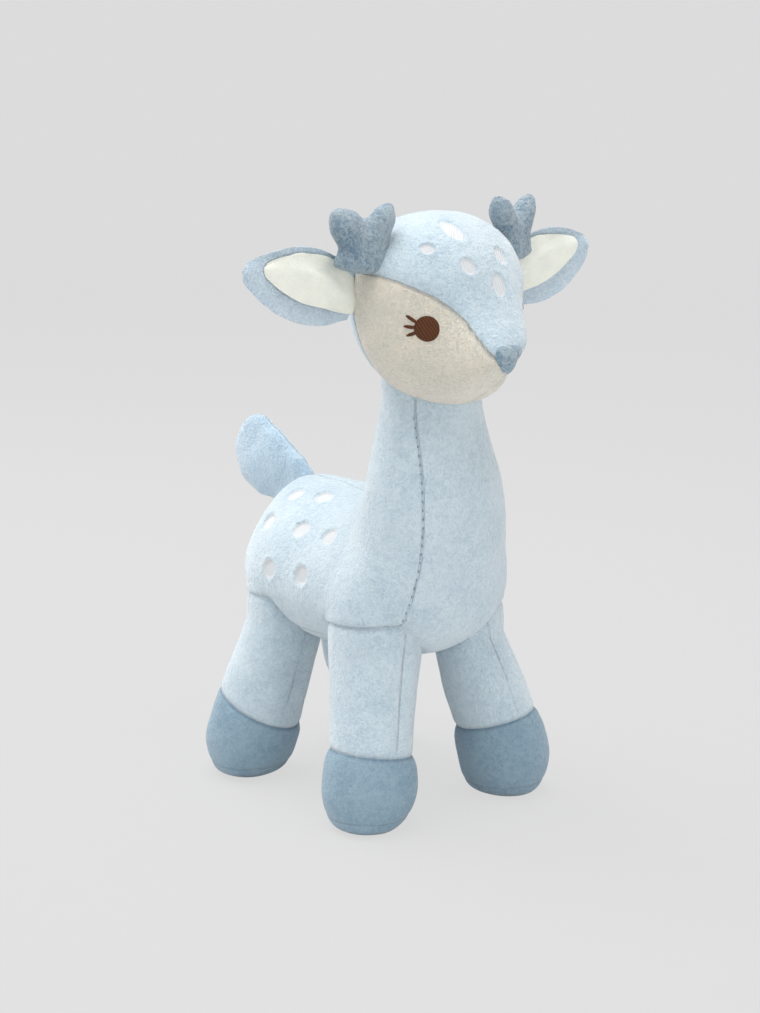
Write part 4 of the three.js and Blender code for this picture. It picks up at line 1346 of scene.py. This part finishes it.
class DEER_OT_ears(bpy.types.Operator):
    """Makes each ear's blue back and its ivory lining"""

    bl_idname = "deer.ears"
    bl_label = "Ears"

    def execute(self, context):
        for side, label in SIDES:
            place = ear_place(side)
            back = ear_leaf(0.985, 1.0, -3.0, 3.0, 0.0, lambda s, v: 0.0)
            lining = ear_leaf(0.84, 0.68, -0.1, 2.6, 3.2, hollow)
            for leaf, part, fabric_slot, seed, folds in (
                ("back", back, "body_plush_blue", 11.0, 0.55),
                ("lining", lining, "ear_lining_ivory", 13.0, 1.0),
            ):
                worked(part, [stuffing(seed + side, (13, folds), (6, 0.25 * folds))])
                moved(part, place)
                piece = made(f"ear_{label}_{leaf}_plush", part, f"ear {leaf} plush")
                padded(piece, fabric_slot, 0.4, f"ear_{leaf}_{label}")
                start, end = (placed(*(place @ Vector((out, 0, 0)))) for out in (0, EAR_BEND))
                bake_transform(piece, "head", f"ear_{label}", start=start, end=end)
        return {"FINISHED"}


# Antlers

ANTLER_PLACE = (42.0, -48.0, 259.0)
ANTLER_TURN = 12.0
ANTLER_FORK = 6.0
ANTLER_ROOT = 8.0
ANTLER_RISE = 11.0
ANTLER_SPREAD = 10.4
ANTLER_BASE = 13.5
ANTLER_STEM = 10.5
ANTLER_TINE = 5.3
ANTLER_FLAT = 6.0
ANTLER_VOXEL = 0.7
ANTLER_SMOOTHINGS = 8
# How each antler came out: width shares of the stem, the outer and the inner tine, the outer tine's drop
ANTLER_MAKE = {1: (0.84, 0.95, 1.05, 0.0), -1: (1.04, 1.42, 1.0, 2.6)}


def limb(bm, start, end, start_radius, end_radius):
    """A blunt tapered limb, flattened from front to back."""
    along = end - start
    way = along.normalized()
    beside_it = Vector((along.z, 0, -along.x)).normalized()
    for v in bmesh.ops.create_uvsphere(bm, u_segments=32, v_segments=24, radius=1.0)["verts"]:
        share = 0.5 - 0.5 * v.co.z
        at = smooth(0.0, 1.0, share) if share < 0.5 else share
        radius = start_radius + (end_radius - start_radius) * at
        body = min(1.0, math.hypot(v.co.x, v.co.y) * 1.35)
        cosine, sine = bearing(v.co)
        reach = share * along.length + (end_radius * 0.9 * max(0.0, -v.co.z) ** 3)
        deep = Vector((0, min(radius, ANTLER_FLAT) * body * sine, 0))
        v.co = start + way * reach + beside_it * radius * body * cosine + deep


def antler_form(stem, outer, inner, drop):
    """A stem and two tines that overlap in the fork."""
    bm = bmesh.new()
    fork = Vector((0, 0, ANTLER_FORK))
    low = Vector((0, 0, ANTLER_FORK - ANTLER_TINE))
    limb(bm, Vector((1.5, 0, -ANTLER_ROOT)), fork, stem * ANTLER_BASE, stem * ANTLER_STEM)
    for way, tine, lift in ((1, outer, -drop), (-1, inner, 0.5)):
        tip = fork + Vector((way * ANTLER_SPREAD, 0, ANTLER_RISE + lift))
        limb(bm, low, tip, 0.75 * stem * ANTLER_STEM, tine * ANTLER_TINE)
    return bm


def remeshed(bm, voxel):
    """One closed skin over overlapping forms."""
    mesh = mesh_of("rough", bm)
    rough = linked("rough", mesh)
    modifier = rough.modifiers.new("skin", "REMESH")
    modifier.mode = "VOXEL"
    modifier.voxel_size = voxel
    skinned = rough.evaluated_get(bpy.context.evaluated_depsgraph_get())
    result = bmesh.new()
    result.from_mesh(skinned.to_mesh())
    skinned.to_mesh_clear()
    bpy.data.objects.remove(rough)
    bpy.data.meshes.remove(mesh)
    return result


class DEER_OT_antlers(bpy.types.Operator):
    """Makes the two stuffed, forked antlers"""

    bl_idname = "deer.antlers"
    bl_label = "Antlers"

    def execute(self, context):
        turn = Matrix.Rotation(math.radians(ANTLER_TURN), 4, "Z")
        for side, label in SIDES:
            bm = remeshed(antler_form(*ANTLER_MAKE[side]), ANTLER_VOXEL)
            for _ in range(ANTLER_SMOOTHINGS):
                bmesh.ops.smooth_vert(
                    bm, verts=bm.verts, factor=0.5, use_axis_x=True, use_axis_y=True, use_axis_z=True
                )
            worked(bm, [stuffing(21.0 + side, (9, 0.6), (3.5, 0.22))])
            moved(bm, Matrix.Diagonal((side, 1, 1, 1)) @ Matrix.Translation(ANTLER_PLACE) @ turn)
            piece = made(f"antler_{label}_plush", bm, "antler grey plush")
            nodes = (f"antler_{label}_{n}" for n in ("front", "back", "stuffing"))
            padded(piece, "trim_plush_slate", 0.8, *nodes)
            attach(piece, "head")
        return {"FINISHED"}


# Tail and neck seam

TAIL_MESH = (128, 128)
TAIL_TOP = Vector((0, 52, 143))
TAIL_LOW = Vector((0, 77, 121))
TAIL_HALF_THICKNESS = 6.5
TAIL_DROOP = 14.0
# Share along, half width share, half thickness share, drift share
TAIL_SHARES = (
    (-0.17, 0.34, 0.3, -0.3),
    (-0.06, 0.78, 0.45, -0.2),
    (0.1, 0.84, 0.6, 0.0),
    (0.28, 0.93, 0.85, 0.42),
    (0.5, 1.0, 1.0, 0.72),
    (0.7, 0.9, 0.95, 0.9),
    (0.86, 0.72, 0.75, 0.9),
    (0.96, 0.44, 0.5, 0.85),
    (1.0, 0.0, 0.0, 0.85),
)
NECK_THREAD_RADIUS = 0.5
NECK_THREAD_INSET = 1.2


def tail_form():
    """The tail in its own frame: x along it, y down its width, z across its thickness."""
    long, wide = size("tail_length"), size("tail_half_width")
    rows = [Vector(row) for row in TAIL_SHARES]

    def point_at(cosine, sine, share):
        row = spline(rows, share, 0.5)
        thick = TAIL_HALF_THICKNESS * max(0.0, row[2])
        return Vector((row[0] * long, row[3] * TAIL_DROOP + max(0.0, row[1]) * wide * cosine, thick * sine))

    return pouch(*TAIL_MESH, point_at)


def neck_thread():
    """A round thread spun about the neck where the head is sewn on."""
    bm = bmesh.new()
    centre = Vector((0, NECK_Y, size("collar_height")))
    out = Vector((size("neck_radius") - NECK_THREAD_INSET, 0, 0))
    ring = Matrix.Translation(centre + out) @ Matrix.Rotation(math.pi / 2, 4, "X")
    verts = bmesh.ops.create_circle(bm, segments=10, radius=NECK_THREAD_RADIUS, matrix=ring)["verts"]
    geom = [*verts, *{e for v in verts for e in v.link_edges}]
    bmesh.ops.spin(bm, geom=geom, cent=centre, axis=UPWARDS, angle=2 * math.pi, steps=72, use_merge=True)
    bmesh.ops.recalc_face_normals(bm, faces=bm.faces)
    return bm


class DEER_OT_tail(bpy.types.Operator):
    """Makes the puffed tail and the ladder stitch under the head"""

    bl_idname = "deer.tail"
    bl_label = "Tail and neck seam"

    def execute(self, context):
        down = (TAIL_LOW - TAIL_TOP).normalized()
        along = SIDEWAYS.cross(down)
        turn = Matrix((along, down, along.cross(down))).transposed().to_4x4()
        bm = tail_form()
        lumps = stuffing(31.0, (16, 1.3), (7, 0.35))
        worked(bm, [lumps], lambda place, normal: (across(abs(place.z), UPWARDS, normal), 0.5))
        moved(bm, Matrix.Translation((TAIL_TOP + TAIL_LOW) / 2) @ turn)
        tail = made("tail_plush", bm, "tail sky plush")
        padded(tail, "tail_plush_sky", 0.7, "tail_panel_left", "tail_panel_right", "tail_stuffing")
        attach(tail, "tail")
        thread = made("neck_thread", neck_thread(), "seam thread")
        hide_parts("neck_seam_thread")
        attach(thread, "neck_seam")
        return {"FINISHED"}


# Floor, camera and light

CAMERA_PLACE = (-0.6377, -0.8417, 0.3644)
CAMERA_YAW = -37.54
CAMERA_PITCH = 12.36
CAMERA_LENS = 81.56
FLOOR_RADIUS = 90.0
# Each lamp's place and width, in metres; its power is a setting
LAMPS = {
    "key": ((-0.2, 0.12, 1.5), 1.5),
    "fill": ((0.1, -1.6, 0.25), 1.5),
    "back": ((-0.3, 1.2, 0.9), 1.0),
}
LAMP_AIM = Vector((0, 0, 0.14))
# The paper turns even between these distances from the deer, from one share to the other
EVEN_FROM, EVEN_TO = (0.5, 0.9), (2.5, 1.0)


def paper():
    """Pale paper that shows the deer's shadow and stays even."""
    material = bpy.data.materials.new("floor paper")
    material.use_nodes = True
    nodes = material.node_tree.nodes
    build = Builder(material.node_tree)
    place = build.place()
    grain = build.mapped(build.noise(place, 60.0, 3.0, 0.5, 0.0), 0.3, 0.7, 0.0, 0.03)
    tint = build.mix("MULTIPLY", grain, tone("floor"), (0.0, 0.0, 0.0, 1.0))
    build.feed(nodes["Principled BSDF"], {"Roughness": 0.95, "Base Color": tint})
    glow = build.node("ShaderNodeEmission", {"Color": tone("floor")})
    far = build.node("ShaderNodeVectorMath", {0: place}, operation="LENGTH").outputs["Value"]
    even = build.mapped(far, EVEN_FROM[0], EVEN_TO[0], EVEN_FROM[1], EVEN_TO[1])
    lit, plain = nodes["Principled BSDF"].outputs["BSDF"], glow.outputs["Emission"]
    blend = build.node("ShaderNodeMixShader", {0: build.times(build.seen(), even), 1: lit, 2: plain})
    build.feed(nodes["Material Output"], {"Surface": blend.outputs["Shader"]})
    return material


def room():
    """Even room light, which the camera sees as the floor's own colour."""
    world = bpy.data.worlds.new("room")
    world.use_nodes = True
    build = Builder(world.node_tree)
    seen = build.seen()
    shown = {
        "Color": build.mix("MIX", seen, (1.0, 1.0, 1.0, 1.0), tone("floor")),
        "Strength": build.mapped(seen, 0.0, 1.0, finish("sky_strength"), 1.0),
    }
    build.feed(world.node_tree.nodes["Background"], shown)
    return world


class DEER_OT_stage(bpy.types.Operator):
    """Sets the pale floor, the camera and the soft studio light"""

    bl_idname = "deer.stage"
    bl_label = "Stage"

    def execute(self, context):
        scene = context.scene
        bm = bmesh.new()
        bmesh.ops.create_circle(bm, cap_ends=True, segments=96, radius=FLOOR_RADIUS)
        floor = linked("floor", mesh_of("floor", bm))
        floor.data.materials.append(paper())

        camera = linked("camera", bpy.data.cameras.new("camera"))
        camera.data.sensor_width = 36.0
        camera.data.lens = CAMERA_LENS
        camera.data.clip_start = 0.05
        camera.data.clip_end = 200.0
        camera.location = CAMERA_PLACE
        camera.rotation_euler = (math.radians(90 - CAMERA_PITCH), 0, math.radians(CAMERA_YAW))
        scene.camera = camera

        for name, (place, wide) in LAMPS.items():
            lamp = linked(name, bpy.data.lights.new(name, "AREA"))
            lamp.data.shape = "DISK"
            lamp.data.size = wide
            lamp.data.energy = finish(name + "_watts")
            lamp.location = place
            lamp.rotation_euler = (LAMP_AIM - Vector(place)).to_track_quat("-Z", "Y").to_euler()
        scene.world = room()
        scene.view_settings.view_transform = "Standard"
        return {"FINISHED"}


# The add-on

OPERATORS = (
    DEER_OT_stage,
    DEER_OT_body,
    DEER_OT_legs,
    DEER_OT_head,
    DEER_OT_face,
    DEER_OT_ears,
    DEER_OT_antlers,
    DEER_OT_tail,
)


class DEER_PT_panel(bpy.types.Panel):
    """Lists the deer's pieces and settings"""

    bl_label = "Plush deer"
    bl_idname = "DEER_PT_panel"
    bl_space_type = "VIEW_3D"
    bl_region_type = "UI"
    bl_category = "Plush deer"

    def draw(self, context):
        layout = self.layout
        for operator in OPERATORS:
            layout.operator(operator.bl_idname)
        for group in (context.scene.deer_sizes, context.scene.deer_colours, context.scene.deer_finish):
            box = layout.box()
            for name in group.bl_rna.properties.keys():
                if name not in ("rna_type", "name"):
                    box.prop(group, name)


CLASSES = (DeerSizes, DeerColours, DeerFinish, *OPERATORS, DEER_PT_panel)


def register():
    for cls in CLASSES:
        bpy.utils.register_class(cls)
    bpy.types.Scene.deer_sizes = bpy.props.PointerProperty(type=DeerSizes)
    bpy.types.Scene.deer_colours = bpy.props.PointerProperty(type=DeerColours)
    bpy.types.Scene.deer_finish = bpy.props.PointerProperty(type=DeerFinish)


def unregister():
    del bpy.types.Scene.deer_finish
    del bpy.types.Scene.deer_colours
    del bpy.types.Scene.deer_sizes
    for cls in reversed(CLASSES):
        bpy.utils.unregister_class(cls)


def main():
    register()
    for operator in (
        bpy.ops.deer.stage,
        bpy.ops.deer.body,
        bpy.ops.deer.legs,
        bpy.ops.deer.head,
        bpy.ops.deer.face,
        bpy.ops.deer.ears,
        bpy.ops.deer.antlers,
        bpy.ops.deer.tail,
    ):
        operator()


if __name__ == "__main__":
    main()
